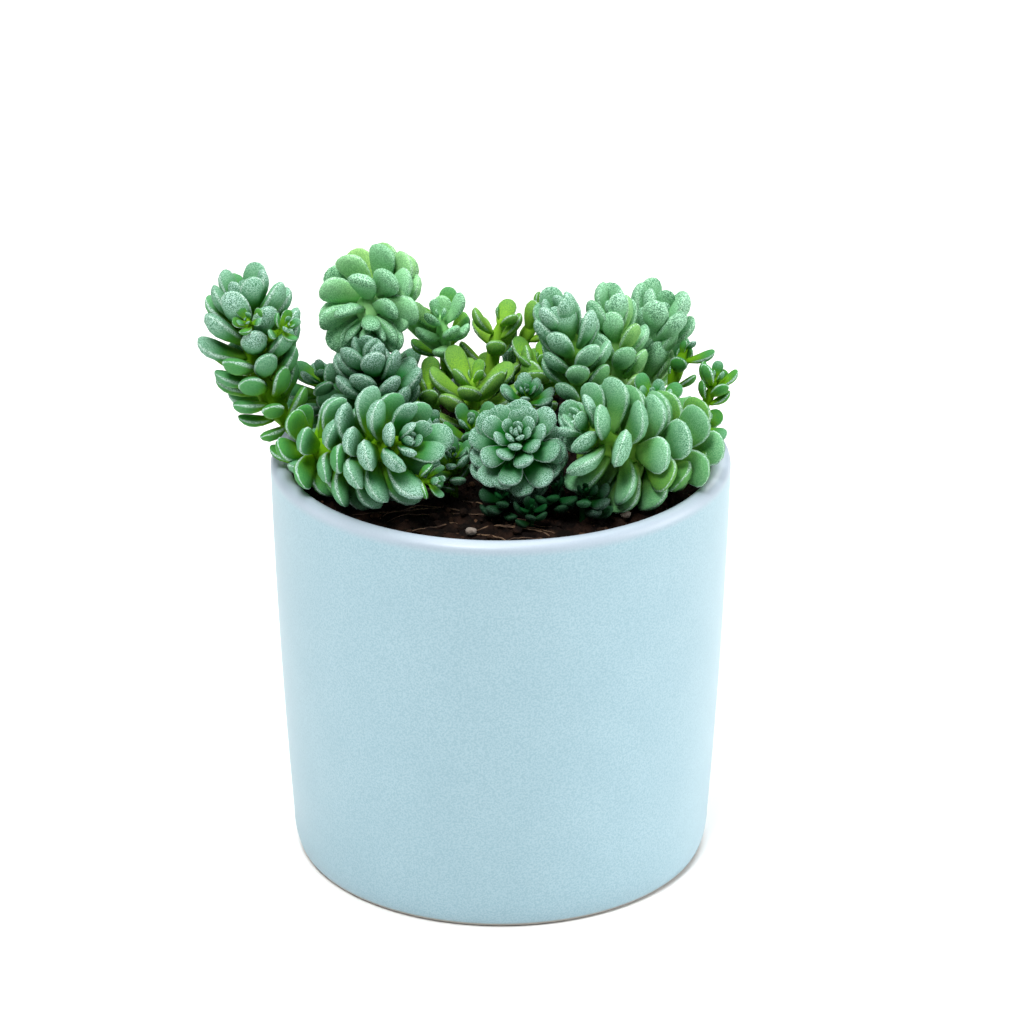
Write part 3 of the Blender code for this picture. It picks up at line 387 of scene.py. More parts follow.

# Leafy stems
# A stonecrop: short fleshy stems rooted in the soil, each ringed by plump spoon-shaped leaves on a
# golden-angle spiral. Leaves are smallest at the stem's tip, whitish and dotted at their own tips
# and along their margins, where the paleness is partly painted sheen, and clear green where they
# join the stem.

# All shoots, in millimetres and degrees. path runs to the tip, from the soil where its first height
# is 0 and from another shoot of the stem where it isn't; stem is the stalk's radius. count leaves
# sit on the last leafed mm, turned by turn. full is the length of a full leaf, which the grow-th
# leaf from the tip reaches, and opens holds the angle to the stem of the first leaf and of the full
# ones. Where they differ from the rest, spread is the leaf that first opens fully, fade the share
# that the lowest leaf is shorter by, and wide the width as a share of the length.
SHOOTS = (
    dict(node="stem_left_tall", path=((-27.6, 0.4, 0), (-29.6, 0, 66.6), (-32.4, -0.8, 70.0),
                                      (-35.0, -1.4, 75.0), (-36.8, -1.4, 81.5), (-37.8, -1, 88.6)),
         stem=1.1, count=46, leafed=19.5, full=7.9, grow=6, opens=(14, 66), spread=18, fade=0.3,
         turn=20, wide=0.46),
    dict(node="stem_left_tall", path=((-37.0, -1.6, 84.0), (-36.8, -5.0, 87.0),
                                      (-37.6, -7.8, 89.3)),
         stem=0.6, count=9, leafed=2.6, full=3.1, grow=6, opens=(15, 60), turn=0),
    dict(node="stem_left_tall", path=((-36.7, -1.6, 82.5), (-34.0, -5.0, 85.6),
                                      (-31.4, -7.4, 88.4)),
         stem=0.6, count=9, leafed=2.6, full=3.1, grow=6, opens=(15, 60), turn=50),
    dict(node="stem_front_left", path=((-28.9, -6.9, 0), (-28.9, -7.6, 67.9), (-25.8, -12.0, 70.2),
                                       (-20.4, -17.2, 71.8), (-13.9, -23.2, 76.4)),
         stem=1.15, count=58, leafed=26.5, full=8.2, grow=13, opens=(6, 74), spread=20, fade=0.3,
         turn=8),
    dict(node="stem_front_left", path=((-18.5, -18.8, 72.6), (-13.5, -22.4, 70.4),
                                       (-9.4, -24.6, 70.4)),
         stem=0.6, count=9, leafed=2.6, full=3.4, grow=6, opens=(12, 60), turn=0),
    dict(node="stem_front_middle", path=((3.0, -8, 0), (2.9, -10.4, 65.8), (2.7, -14.6, 69.8),
                                         (2.4, -18.3, 73.0), (2.3, -21.6, 76.8)),
         stem=1.1, count=60, leafed=15, full=6.4, grow=26, opens=(6, 80), turn=40, wide=0.53),
    dict(node="stem_front_right", path=((28.6, -3.5, 0), (28.2, -5.3, 66.6), (23.4, -11.0, 69.2),
                                        (17.4, -15.6, 72.0), (11.3, -18.4, 77.2)),
         stem=1.2, count=56, leafed=25, full=8.3, grow=17, opens=(8, 92), spread=28, turn=70,
         wide=0.60),
    dict(node="stem_middle_right", path=((12.5, 0, 0), (12.4, 0, 68), (11.9, 0, 75),
                                         (10.8, -0.5, 81.5), (9.0, -1.2, 86.6)),
         stem=1.0, count=30, leafed=13.5, full=6.4, grow=7, opens=(5, 56), spread=24, turn=50),
    dict(node="stem_right_upright", path=((18.5, 9, 0), (18.2, 9, 70), (17.5, 9, 77),
                                          (17.0, 9, 83.2)),
         stem=1.0, count=28, leafed=13, full=6.3, grow=6, opens=(6, 56), spread=22, turn=35),
    dict(node="stem_back_right", path=((22.5, 17, 0), (22.2, 17, 68), (22.8, 16.5, 75),
                                       (24.0, 16, 80.2)),
         stem=1.1, count=31, leafed=13.5, full=7.4, grow=7, opens=(6, 64), spread=20, turn=75),
    dict(node="stem_drooping", path=((-5.5, 18.5, 0), (-5.8, 18.8, 68), (-8.0, 18.6, 73.0),
                                     (-12.3, 17.4, 77.6), (-16.3, 14.8, 82.9), (-19.0, 11.2, 85.8),
                                     (-20.2, 7.2, 85.1), (-20.0, 4.6, 82.3)),
         stem=1.15, count=48, leafed=13.5, full=7.3, grow=21, opens=(6, 74), turn=15, wide=0.55),
    dict(node="stem_drooping", path=((-8.4, 18.5, 74.4), (-8.8, 16.8, 77.2), (-9.4, 15.6, 80.8)),
         stem=0.8, count=12, leafed=5.5, full=5.4, grow=5, opens=(12, 60), turn=30),
    dict(node="stem_left_middle", path=((-16.8, 3, 0), (-17.2, 2.6, 68), (-18.5, 2, 73.5),
                                        (-19.6, 1, 79.4)),
         stem=1.0, count=34, leafed=11, full=6.8, grow=9, opens=(6, 70), spread=26, turn=45),
    dict(node="stem_left_behind", path=((-21, 9.5, 0), (-22.8, 9.5, 66.2), (-25.4, 9.5, 68.4),
                                        (-27.4, 9.0, 73.4)),
         stem=0.9, count=22, leafed=9.5, full=6.6, grow=7, opens=(12, 68), turn=0),
    dict(node="stem_right_small", path=((28.8, 9, 0), (30.2, 8.8, 66.8), (31.8, 8.3, 70.2),
                                        (32.9, 8, 73.6)),
         stem=0.7, count=10, leafed=4.4, full=4.3, grow=4, opens=(12, 46), turn=20),
    dict(node="stem_right_thin", path=((26, 13.5, 0), (26.4, 13.5, 70), (27.5, 13.5, 74),
                                       (28.6, 13.5, 77)),
         stem=0.7, count=11, leafed=8, full=4.4, grow=4, opens=(20, 65), turn=0),
    dict(node="stem_right_bud", path=((22.8, 3.5, 0), (23.0, 2.7, 68), (23.2, 0.9, 73.6)),
         stem=0.8, count=20, leafed=5, full=5.0, grow=11, opens=(10, 75), turn=30),
    dict(node="stem_right_low", path=((28.2, 6.2, 0), (28.8, 5.6, 65.6), (30.2, 3.4, 67.4)),
         stem=0.9, count=9, leafed=3.2, full=4.8, grow=5, opens=(20, 66), turn=0),
    dict(node="bud_behind_middle", path=((4, 3, 0), (3.9, 2, 69), (3.8, 0.4, 74.6)),
         stem=0.8, count=18, leafed=4, full=4.4, grow=11, opens=(8, 74), turn=0),
    dict(node="stem_middle_left", path=((-3.5, -4.5, 0), (-3.8, -5, 67.5), (-4.5, -6.2, 72.0)),
         stem=0.8, count=14, leafed=6, full=5.0, grow=7, opens=(12, 58), turn=0),
    dict(node="bud_front_left", path=((-7, -13.5, 0), (-7.1, -14.5, 67.5), (-7.1, -16.5, 71.4)),
         stem=0.7, count=20, leafed=6.5, full=4.2, grow=9, opens=(10, 68), turn=0),
    dict(node="stem_centre", path=((-4.6, 8, 0), (-4.6, 8, 67.0), (-4.2, 7.6, 73.6)),
         stem=0.9, count=18, leafed=8, full=7.0, grow=6, opens=(20, 70), turn=0),
    dict(node="stem_centre_left", path=((-11, 8, 0), (-11, 8, 67.0), (-10.9, 8.2, 72.6)),
         stem=0.9, count=15, leafed=7, full=6.6, grow=6, opens=(20, 70), turn=90),
    dict(node="stem_back_thin_1", path=((-1.5, 19, 0), (-1.5, 19, 70), (-0.8, 19, 75.5),
                                        (0, 19, 79)),
         stem=0.7, count=12, leafed=12, full=5.8, grow=3, opens=(25, 62), turn=0),
    dict(node="stem_back_thin_2", path=((2.8, 21, 0), (2.9, 21, 69), (3.6, 20.5, 75),
                                        (6.2, 20, 79.5)),
         stem=0.7, count=6, leafed=7, full=6.8, grow=2, opens=(30, 55), turn=0),
    dict(node="stem_back_thin_3", path=((-8.5, 22.5, 0), (-8.4, 22, 70), (-8.6, 20.5, 75),
                                        (-9.0, 18.4, 79)),
         stem=0.7, count=13, leafed=12, full=5.5, grow=3, opens=(25, 66), turn=0),
    dict(node="stem_back_green", path=((6.0, 13, 0), (6.0, 13, 67.5), (6.0, 12.5, 74.6)),
         stem=0.9, count=17, leafed=8.5, full=6.8, grow=6, opens=(15, 68), turn=0),
    dict(node="sprout_front_1", path=((8, -19.2, 0), (8.0, -19.8, 65.5), (7.9, -20.9, 68.2)),
         stem=0.6, count=18, leafed=5, full=4.2, grow=8, opens=(8, 64), turn=0),
    dict(node="sprout_front_2", path=((12.2, -20.5, 0), (12.4, -21.2, 65.5), (12.4, -22.6, 68.2)),
         stem=0.6, count=19, leafed=5, full=4.4, grow=8, opens=(8, 66), turn=0),
    dict(node="sprout_front_3", path=((4.4, -23.2, 0), (4.4, -23.6, 64.9), (4.4, -24.4, 66.4)),
         stem=0.5, count=12, leafed=3, full=3.2, grow=6, opens=(8, 64), turn=0),
    dict(node="sprout_front_4", path=((0.5, -20, 0), (0.6, -20.9, 65.4), (0.6, -22.4, 67.6)),
         stem=0.6, count=17, leafed=4.6, full=4.3, grow=8, opens=(8, 66), turn=0),
    dict(node="stem_behind_front_left", path=((-10.5, -5, 0), (-10.5, -5.2, 66.5),
                                              (-10.2, -6, 71.6)),
         stem=0.9, count=17, leafed=7, full=6.0, grow=7, opens=(12, 70), turn=0),
    dict(node="stem_back_low_1", path=((14, 21, 0), (14.2, 21.5, 66), (14.5, 22, 71.0)),
         stem=0.9, count=20, leafed=7, full=7.0, grow=8, opens=(12, 74), turn=0),
    dict(node="stem_back_low_2", path=((-18, 18.5, 0), (-18.2, 19.2, 66), (-18.4, 19.8, 71.0)),
         stem=0.9, count=20, leafed=7, full=7.0, grow=8, opens=(12, 74), turn=0),
    dict(node="stem_back_low_3", path=((2.5, 25.6, 0), (2.5, 25.9, 66.2), (2.7, 26.2, 69.6)),
         stem=0.8, count=17, leafed=5.5, full=5.6, grow=7, opens=(14, 76), turn=0),
)

# Stalks
STEM_DEPTH, STEM_STRAIGHT, STEM_POINT_SPACING, CURVE_READINGS = 5.0 * MM, 0.6 * MM, 2.2 * MM, 16
CORE_SHARE, CORE_RAMP, TIP_SHARE, TIP_RAMP = 1.6, 3.0 * MM, 0.3, 4.0 * MM


def smooth_path(points, spacing):
    """A curve through the points, read at even steps of its length: between two points it is the
    cubic whose slope at each is half the step between the points beside it."""
    points = np.asarray(points, float)
    ends = np.vstack([2 * points[0] - points[1], points, 2 * points[-1] - points[-2]])
    t = np.linspace(0, 1, CURVE_READINGS, endpoint=False)[:, None]
    a, b, c, d = (ends[i:len(ends) - 3 + i, None] for i in range(4))
    runs = 0.5 * (2 * b + (c - a) * t + (2 * a - 5 * b + 4 * c - d) * t**2
                  + (3 * b - a - 3 * c + d) * t**3)
    fine = np.vstack([runs.reshape(-1, 3), points[-1:]])
    along = np.concatenate([[0], np.cumsum(np.linalg.norm(np.diff(fine, axis=0), axis=1))])
    even = np.linspace(0, along[-1], max(3, int(round(along[-1] / spacing)) + 1))
    return np.stack([np.interp(even, along, fine[:, k]) for k in range(3)], axis=1)


def stem_path(shoot):
    """The shoot's line through its points, after a straight run up out of the soil where it is
    rooted there."""
    path = [np.array(p, float) * MM for p in shoot["path"]]
    if path[0][2] > 0:
        return smooth_path(path, STEM_POINT_SPACING)
    x, y, _ = path[0]
    top = soil_height(x, y)
    path[0] = np.array((x, y, top + STEM_STRAIGHT))
    return np.vstack([[(x, y, top - STEM_DEPTH)], smooth_path(path, STEM_POINT_SPACING)])


def eased(x):
    """A smooth step from 0 at 0 to 1 at 1: three times the square less twice the cube."""
    x = np.clip(x, 0, 1)
    return x * x * (3 - 2 * x)


def from_tip(line):
    """Distance of each point of a line from the line's end."""
    steps = np.linalg.norm(np.diff(line, axis=0), axis=1)
    return np.concatenate([np.cumsum(steps[::-1])[::-1], [0]])


def stem_radius(shoot, distance):
    """Radius at a distance from the tip: the stalk's own, times a smooth step up to CORE_SHARE
    where leaves sit, times one down to TIP_SHARE at the tip."""
    fuller = 1 + (CORE_SHARE - 1) * eased((shoot["leafed"] * MM - distance) / CORE_RAMP)
    return shoot["stem"] * MM * fuller * (TIP_SHARE + (1 - TIP_SHARE) * eased(distance / TIP_RAMP))


# Leaves: a leaf that has no room is tried again with each of FOLDS, which says by how many
# degrees it folds up to the stem and the share of its length that stays.
GOLDEN_ANGLE = math.radians(137.5)
LEAF_WIDTH, LEAF_THICKNESS, UPPER_SHARE, CLEARANCE = 0.50, 0.29, 0.38, 0.3 * MM
ROOT_POWER, END_POWER, WIDEST = 0.8, 4, 0.665
ROOT_STEP, FIRST_ROOT, ROOT_SINK, CROWDING = 0.1 * MM, 0.4 * MM, 0.8, 1.25
TIP_LEAF_SHARE, GROWTH_POWER, OPENING_POWER, FADE_POWER = 0.13, 1.15, 0.7, 3
TURN_SPREAD, LENGTH_SPREAD, ANGLE_SPREAD, ROLL_SPREAD, ARCH = 0.08, 0.05, 4.0, 0.12, (0.20, 0.04)
FOLDS = ((0, 1.0), (12, 1.0), (0, 0.88), (24, 0.95), (12, 0.8), (36, 0.85), (24, 0.7), (40, 0.55))


def carried_sides(line):
    """Tangents along a line, and a side vector carried along it without twisting."""
    tangents = np.gradient(line, axis=0)
    tangents /= np.linalg.norm(tangents, axis=1, keepdims=True)
    side = np.cross(tangents[0], ACROSS_STEMS)
    sides = []
    for tangent in tangents:
        side = side - tangent * side.dot(tangent)
        side = side / np.linalg.norm(side)
        sides.append(side)
    return tangents, np.array(sides)


def shoot_leaves(shoot, seed):
    """Roots, directions and sizes of a shoot's leaves, from the tip down, each turned by the golden
    angle from the last. The spaces widen downwards as a power of the rank. The length rises as a
    power of the rank to its full at the grow-th leaf, and the angle to the stem at the spread-th;
    fade shortens the lowest. Seeded draws spread the turn, length, angle, roll and arch."""
    draw = np.random.default_rng(seed)
    stem = stem_path(shoot)
    line = smooth_path(stem[1:] if shoot["path"][0][2] == 0 else stem, ROOT_STEP)
    tangents, sides = carried_sides(line)
    count = shoot["count"]
    rank = np.arange(count)
    down = FIRST_ROOT + shoot["leafed"] * MM * (rank / (count - 1))**CROWDING
    index = np.clip(len(line) - 1 - np.round(down / ROOT_STEP).astype(int), 0, len(line) - 1)
    axis, first = tangents[index], sides[index]
    turn = rank * GOLDEN_ANGLE + math.radians(shoot["turn"]) + draw.normal(0, TURN_SPREAD, count)
    radial = first * np.cos(turn)[:, None] + np.cross(axis, first) * np.sin(turn)[:, None]
    grown = np.minimum((rank + 1) / shoot["grow"], 1)
    opened = np.minimum((rank + 1) / shoot.get("spread", shoot["grow"]), 1)
    share = TIP_LEAF_SHARE + (1 - TIP_LEAF_SHARE) * grown**GROWTH_POWER
    share = share * (1 - shoot.get("fade", 0) * (rank / (count - 1))**FADE_POWER)
    length = shoot["full"] * MM * share * draw.normal(1, LENGTH_SPREAD, count)
    low, high = shoot["opens"]
    angle = low + (high - low) * opened**OPENING_POWER + draw.normal(0, ANGLE_SPREAD, count)
    return dict(root=line[index], axis=axis, radial=radial, angle=np.radians(angle),
                length=length + stem_radius(shoot, down) * ROOT_SINK,
                wide=np.full(count, shoot.get("wide", LEAF_WIDTH)),
                roll=draw.normal(0, ROLL_SPREAD, count), arch=draw.normal(*ARCH, count),
                grown=grown, rank=rank / (count - 1))


def leaf_frame(leaf, fold, size):
    """A leaf as its root, its along, side and up directions, and its measures, after it is folded
    up to the stem by some degrees and shortened to a share of its length."""
    angle = leaf["angle"] - math.radians(fold)
    along = math.cos(angle) * leaf["axis"] + math.sin(angle) * leaf["radial"]
    up = math.sin(angle) * leaf["axis"] - math.cos(angle) * leaf["radial"]
    side = np.cross(up, along)
    c, s = math.cos(leaf["roll"]), math.sin(leaf["roll"])
    return dict(root=leaf["root"], along=along, side=side * c + up * s, up=up * c - side * s,
                length=leaf["length"] * size, arch=leaf["arch"], wide=leaf["wide"],
                grown=leaf["grown"], rank=leaf["rank"])


def outline_width(t):
    """Half width as a share of the widest, at the share t of the length: a power of t that narrows
    the root, times the square root of one less a higher power, which rounds the end."""
    t = np.clip(t, 0, 1)
    return t**ROOT_POWER * np.sqrt(1 - t**END_POWER) / WIDEST


def leaf_points(leaf, t, turn):
    """Points on leaves' skins: t runs from root to tip, and turn goes round an ellipse that is
    flatter above than below; the whole is arched by t squared. The leaf's values may be arrays
    with one row a leaf, and then t and turn are taken for each of them."""
    length, wide = np.asarray(leaf["length"])[..., None], outline_width(t)
    across = np.asarray(leaf["wide"])[..., None] / 2 * length * wide * np.cos(turn)
    share = np.where(np.sin(turn) > 0, UPPER_SHARE, 1 - UPPER_SHARE)
    above = LEAF_THICKNESS * length * share * wide * np.sin(turn)
    above = above + np.asarray(leaf["arch"])[..., None] * length * t * t
    along, side, up = (leaf[key][..., None, :] for key in ("along", "side", "up"))
    return (leaf["root"][..., None, :] + (length * t)[..., None] * along
            + across[..., None] * side + above[..., None] * up)


# What a new leaf is kept clear of: points along all stalks, and the leaves grown so far. A leaf
# itself is tried at a few rings of points on its skin.
SAMPLE_SHARES, SAMPLE_SIDES = (0.3, 0.45, 0.6, 0.75, 0.88, 0.97), 8
SAMPLE_T = np.repeat(SAMPLE_SHARES, SAMPLE_SIDES)
SAMPLE_TURN = np.tile(np.arange(SAMPLE_SIDES) * 2 * np.pi / SAMPLE_SIDES, len(SAMPLE_SHARES))
STEM_SPOT_SPACING, LEAF_REACH = 0.5 * MM, 0.6
stem_owner, stem_spots, stem_sizes = [], [], []
for shoot in SHOOTS:
    line = smooth_path(stem_path(shoot), STEM_SPOT_SPACING)
    stem_owner += [shoot["node"]] * len(line)
    stem_spots.append(line)
    stem_sizes.append(stem_radius(shoot, from_tip(line)))
stem_owner, stem_spots = np.array(stem_owner), np.vstack(stem_spots)
stem_sizes = np.concatenate(stem_sizes)
grown_leaves, grown_owner, grown_skin = [], [], []


def inside(leaves, points):
    """Whether any point lies in the leaf of its own row, with the clearance added to the leaf: the
    point is turned into the leaf's own directions, and tried against the ellipse there."""
    root, length, arch, broad = (np.array([leaf[key] for leaf in leaves])
                                 for key in ("root", "length", "arch", "wide"))
    base = np.array([(leaf["along"], leaf["side"], leaf["up"]) for leaf in leaves])
    local = np.einsum("npk,njk->npj", points - root[:, None], base)
    t = local[..., 0] / length[:, None]
    wide = outline_width(t) * length[:, None]
    across = broad[:, None] / 2 * wide + CLEARANCE
    rise = local[..., 2] - arch[:, None] * length[:, None] * t * t
    deep = LEAF_THICKNESS * np.where(rise > 0, UPPER_SHARE, 1 - UPPER_SHARE) * wide + CLEARANCE
    ends = CLEARANCE / length[:, None]
    hit = (local[..., 1] / across)**2 + (rise / deep)**2 < 1
    return bool((hit & (t > -ends) & (t < 1 + ends)).any())


def has_room(node, leaf):
    """Whether a leaf is clear of the pot's wall, the soil and the other nodes' stems and leaves."""
    points = leaf_points(leaf, SAMPLE_T, SAMPLE_TURN)
    radius = np.hypot(points[:, 0], points[:, 1])
    wall = (radius > SOIL_RADIUS - GAP) & (radius < RIM_RADIUS + GAP)
    if (wall & (points[:, 2] < POT_HEIGHT + GAP)).any():
        return False
    ground = soil_height(points[:, 0], points[:, 1]) + GAP
    if ((radius < RIM_RADIUS) & (points[:, 2] < ground)).any():
        return False
    others = stem_owner != node
    apart = np.linalg.norm(points[:, None] - stem_spots[others][None], axis=2)
    if (apart < stem_sizes[others] + CLEARANCE).any():
        return False
    middle = leaf["root"] + leaf["along"] * leaf["length"] / 2
    near = []
    for i, rival in enumerate(grown_leaves):
        gap = np.linalg.norm(rival["root"] + rival["along"] * rival["length"] / 2 - middle)
        reach = (leaf["length"] + rival["length"]) * LEAF_REACH + CLEARANCE
        if grown_owner[i] != node and gap < reach:
            near.append(i)
    if not near:
        return True
    if inside([grown_leaves[i] for i in near], np.broadcast_to(points, (len(near), *points.shape))):
        return False
    return not inside([leaf] * len(near), np.array([grown_skin[i] for i in near]))


# The rings of a leaf's skin are closer together towards its tip.
LEAF_SIDES, LEAF_BANDS = 10, 7
LEAF_T = 1 - (1 - np.arange(LEAF_BANDS + 1) / LEAF_BANDS)**2
LEAF_TURN = np.arange(LEAF_SIDES) * 2 * np.pi / LEAF_SIDES


def leaf_skins(leaves):
    """All leaves of a stem as closed skins, with each point's place on its leaf: share of the
    length, nearness to the margin and upper or lower face."""
    packed = {key: np.array([leaf[key] for leaf in leaves]) for key in leaves[0]}
    t, turn = (grid.ravel() for grid in np.meshgrid(LEAF_T[1:-1], LEAF_TURN, indexing="ij"))
    rings = leaf_points(packed, t, turn).reshape(len(leaves), LEAF_BANDS - 1, LEAF_SIDES, 3)
    tip = leaf_points(packed, np.ones(1), np.zeros(1))[:, 0]
    place = np.stack([np.concatenate([[0], t, [1]]),
                      np.concatenate([[0], np.abs(np.cos(turn)), [1]]),
                      np.concatenate([[0], np.sin(turn), [0]])], axis=1)
    return closed_skin(rings, packed["root"], tip), np.tile(place, (len(leaves), 1))


ROOT_GREEN, ROOT_LIME = (0.01, 0.10, 0.006, 1), (0.17, 0.40, 0.006, 1)
MIDDLE_GREEN, MIDDLE_LIME = (0.008, 0.165, 0.008, 1), (0.12, 0.30, 0.012, 1)
OUTER_GREEN, DULL_GREEN = (0.03, 0.27, 0.06, 1), (0.01, 0.13, 0.025, 1)
# The pale margin colour is partly the papillae's own paleness and partly painted sheen; the lit
# green and lime are painted light, and the deep shade is painted shade.
PALE_BLOOM, PALE_MARGIN_AND_SHEEN = (0.50, 0.71, 0.65, 1), (0.64, 0.84, 0.74, 1)
LIT_GREEN, LIT_LIME = (0.46, 0.90, 0.50, 1), (0.50, 0.74, 0.15, 1)
DOT_GREEN, PIT_GREEN = (0.02, 0.16, 0.05, 1), (0.012, 0.12, 0.045, 1)
DEEP_SHADE = (0.001, 0.014, 0.004, 1)


def leaf_finish():
    """Stonecrop leaf. Its green runs from the root through the middle to the outer part, and is
    limier on a yellow stem. A pale bloom, patchy by a coarse noise, covers the outer part and the
    margin, whose paleness is partly painted sheen. A fine noise cut off at its middle dots the
    green and pits the bloom, and gives the grain of the bump. dark above 0 is painted shade, which
    darkens the leaf, and below 0 painted light, which lightens it."""
    finish, tree, shader, add = finish_nodes("stonecrop_leaf", 0.5)

    def split(name):
        """The three values of a vector that each point of the mesh carries."""
        stored = add("ShaderNodeAttribute", attribute_name=name).outputs["Vector"]
        return add("ShaderNodeSeparateXYZ", {0: stored}).outputs

    def times(first, second):
        return maths(add, "MULTIPLY", first, second)

    t, margin, face = split("leaf_place")
    # dark holds each point's painted shade, and its painted light where it is below 0.
    yellow, dark, chance = split("leaf_tint_and_shade")
    place = add("ShaderNodeTexCoord").outputs["Object"]
    grain, cloud = noise(add, place, 7000.0, 0.5), noise(add, place, 420.0, 3.0)

    # The green from root to tip
    root = blend(add, ramp(add, yellow, 0.25, 0.75), ROOT_GREEN, ROOT_LIME)
    middle = blend(add, ramp(add, yellow, 0.4, 1.1, 0, 0.8), MIDDLE_GREEN, MIDDLE_LIME)
    fresh = maths(add, "SUBTRACT", t, times(yellow, 0.4))
    green = blend(add, ramp(add, fresh, 0.05, 0.55), root, middle)
    outer = ramp(add, t, 0.5, 1.0, 0, ramp(add, yellow, 0.5, 1.0, 0.8, 0.2))
    green = blend(add, outer, green, OUTER_GREEN)

    # The bloom, a little fuller below than above, and the margin, pale partly as painted sheen
    bloom = ramp(add, maths(add, "ADD", t, times(cloud, 0.2)), 0.6, 1.15)
    bloom = times(bloom, ramp(add, face, -0.2, 0.7, 0.95, 0.8))
    bloom = times(bloom, ramp(add, yellow, 0.4, 0.85, 1.0, 0.05))
    # The margin's pale band is partly the papillae's own paleness and partly painted sheen, the
    # whitening they give where light grazes them.
    rim = times(ramp(add, margin, 0.88, 1.0), ramp(add, t, 0.3, 0.6))
    cover = maths(add, "MAXIMUM", bloom, times(rim, 0.95))
    colour = blend(add, cover, green, PALE_BLOOM)
    colour = blend(add, times(rim, 0.75), colour, PALE_MARGIN_AND_SHEEN)
    # Painted light: where dark is below 0, the leaf turns towards a lit green, limier on a yellow
    # stem.
    painted_light = blend(add, ramp(add, yellow, 0.6, 0.95), LIT_GREEN, LIT_LIME)
    colour = blend(add, times(dark, -0.55), colour, painted_light)

    # The dots on the green and the pits in the bloom
    dot = ramp(add, grain, 0.42, 0.58, 1.0, 0.0)
    bead = times(dot, ramp(add, t, 0.2, 0.6, 0.0, 0.45))
    colour = blend(add, bead, colour, DOT_GREEN)
    pit = times(dot, ramp(add, cover, 0.2, 0.7, 0.0, 0.7))
    pit = times(pit, ramp(add, rim, 0, 1, 1.0, 0.8))
    colour = blend(add, pit, colour, PIT_GREEN)

    # Painted shade towards near black where dark is above 0, and a small difference from leaf to
    # leaf
    colour = blend(add, times(dark, 0.95), colour, DEEP_SHADE)
    colour = blend(add, ramp(add, chance, 0, 1, 0.0, 0.25), colour, DULL_GREEN)
    tree.links.new(colour, shader.inputs["Base Color"])
    tree.links.new(ramp(add, grain, 0.3, 0.7, 0.62, 0.46), shader.inputs["Roughness"])
    bumped(add, tree, shader, grain, 0.4, 0.06 * MM)
    shader.inputs["Specular IOR Level"].default_value = 0.04
    return finish


# How yellow each stem's leaves are, from 0 to 1, and how much painted shade they get, where less
# than 0 is painted light instead.
TINTS_AND_PAINTED_SHADE = dict(
    stem_left_tall=(0.45, -0.05), stem_front_left=(0.42, 0), stem_front_middle=(0.0, 0.0),
    stem_front_right=(0.45, -0.35), stem_middle_right=(0.3, -0.3), stem_right_upright=(0.4, -0.75),
    stem_back_right=(0.3, -0.85), stem_drooping=(0.36, -1.1), stem_left_middle=(0.05, 0.15),
    stem_left_behind=(0.4, 0.3), stem_right_small=(0.6, 0), stem_right_thin=(0.6, 0.1),
    stem_right_bud=(0.4, 0), stem_right_low=(0.5, 0), bud_behind_middle=(0.2, 0.1),
    stem_middle_left=(0.5, 0.25), bud_front_left=(0.4, 0.35), stem_centre=(0.9, -0.5),
    stem_centre_left=(0.9, -0.4), stem_back_thin_1=(0.9, -0.45), stem_back_thin_2=(1.0, -0.4),
    stem_back_thin_3=(0.9, -0.1), stem_back_green=(0.95, -0.3), sprout_front_1=(0.1, 1.0),
    sprout_front_2=(0.1, 0.93), sprout_front_3=(0.1, 1.0), sprout_front_4=(0.1, 0.97),
    stem_behind_front_left=(0.3, 0.3), stem_back_low_1=(0.5, 0.1), stem_back_low_2=(0.4, 0.1),
    stem_back_low_3=(0.3, 0.2))
stonecrop = leaf_finish()

# The leaves of a shoot are grown from its tip down. Older leaves are yellower, and young ones,
# in the middle of the rosette, get more painted shade; the stalk is a little yellower and gets a
# little more painted shade. All shoots of a node make one piece.
STALK_SPACING, STALK_SIDES = 0.7 * MM, 10
OLD_YELLOW, YELLOW_SPREAD, YOUNG_PAINTED_SHADE = 0.4, 0.08, 0.25
STALK_YELLOW, STALK_PAINTED_SHADE, TINT_SEED = 0.3, 0.1, 100
stem_meshes = {}
for seed, shoot in enumerate(SHOOTS):
    node = shoot["node"]
    leaves = shoot_leaves(shoot, seed)
    kept = []
    for i in range(shoot["count"]):
        one = {key: value[i] for key, value in leaves.items()}
        for fold, size in FOLDS:
            leaf = leaf_frame(one, fold, size)
            if has_room(node, leaf):
                grown_leaves.append(leaf)
                grown_owner.append(node)
                grown_skin.append(leaf_points(leaf, SAMPLE_T, SAMPLE_TURN))
                kept.append(leaf)
                break
    (points, quads, fans), place = leaf_skins(kept)
    draw = np.random.default_rng(TINT_SEED + seed)
    yellow, dark = TINTS_AND_PAINTED_SHADE[node]
    rank, grown = (np.array([leaf[key] for leaf in kept]) for key in ("rank", "grown"))
    # Painted shade: the stem's own, and more for the leaves at the tip that are not yet grown full.
    kind = np.stack([yellow + OLD_YELLOW * rank + draw.normal(0, YELLOW_SPREAD, len(kept)),
                     dark + YOUNG_PAINTED_SHADE * (1 - grown), draw.uniform(0, 1, len(kept))], axis=1)
    kind = np.repeat(kind, len(place) // len(kept), axis=0)
    line = smooth_path(stem_path(shoot), STALK_SPACING)
    radii = stem_radius(shoot, from_tip(line))
    stalk, stalk_quads, stalk_fans = tube(line[None], radii[None], STALK_SIDES)
    bare = np.tile((yellow + STALK_YELLOW, dark + STALK_PAINTED_SHADE, 0.5), (len(stalk), 1))
    parts = stem_meshes.setdefault(node, [])
    parts.append((points, quads, fans, place, kind))
    parts.append((stalk, stalk_quads, stalk_fans, np.zeros((len(stalk), 3)), bare))
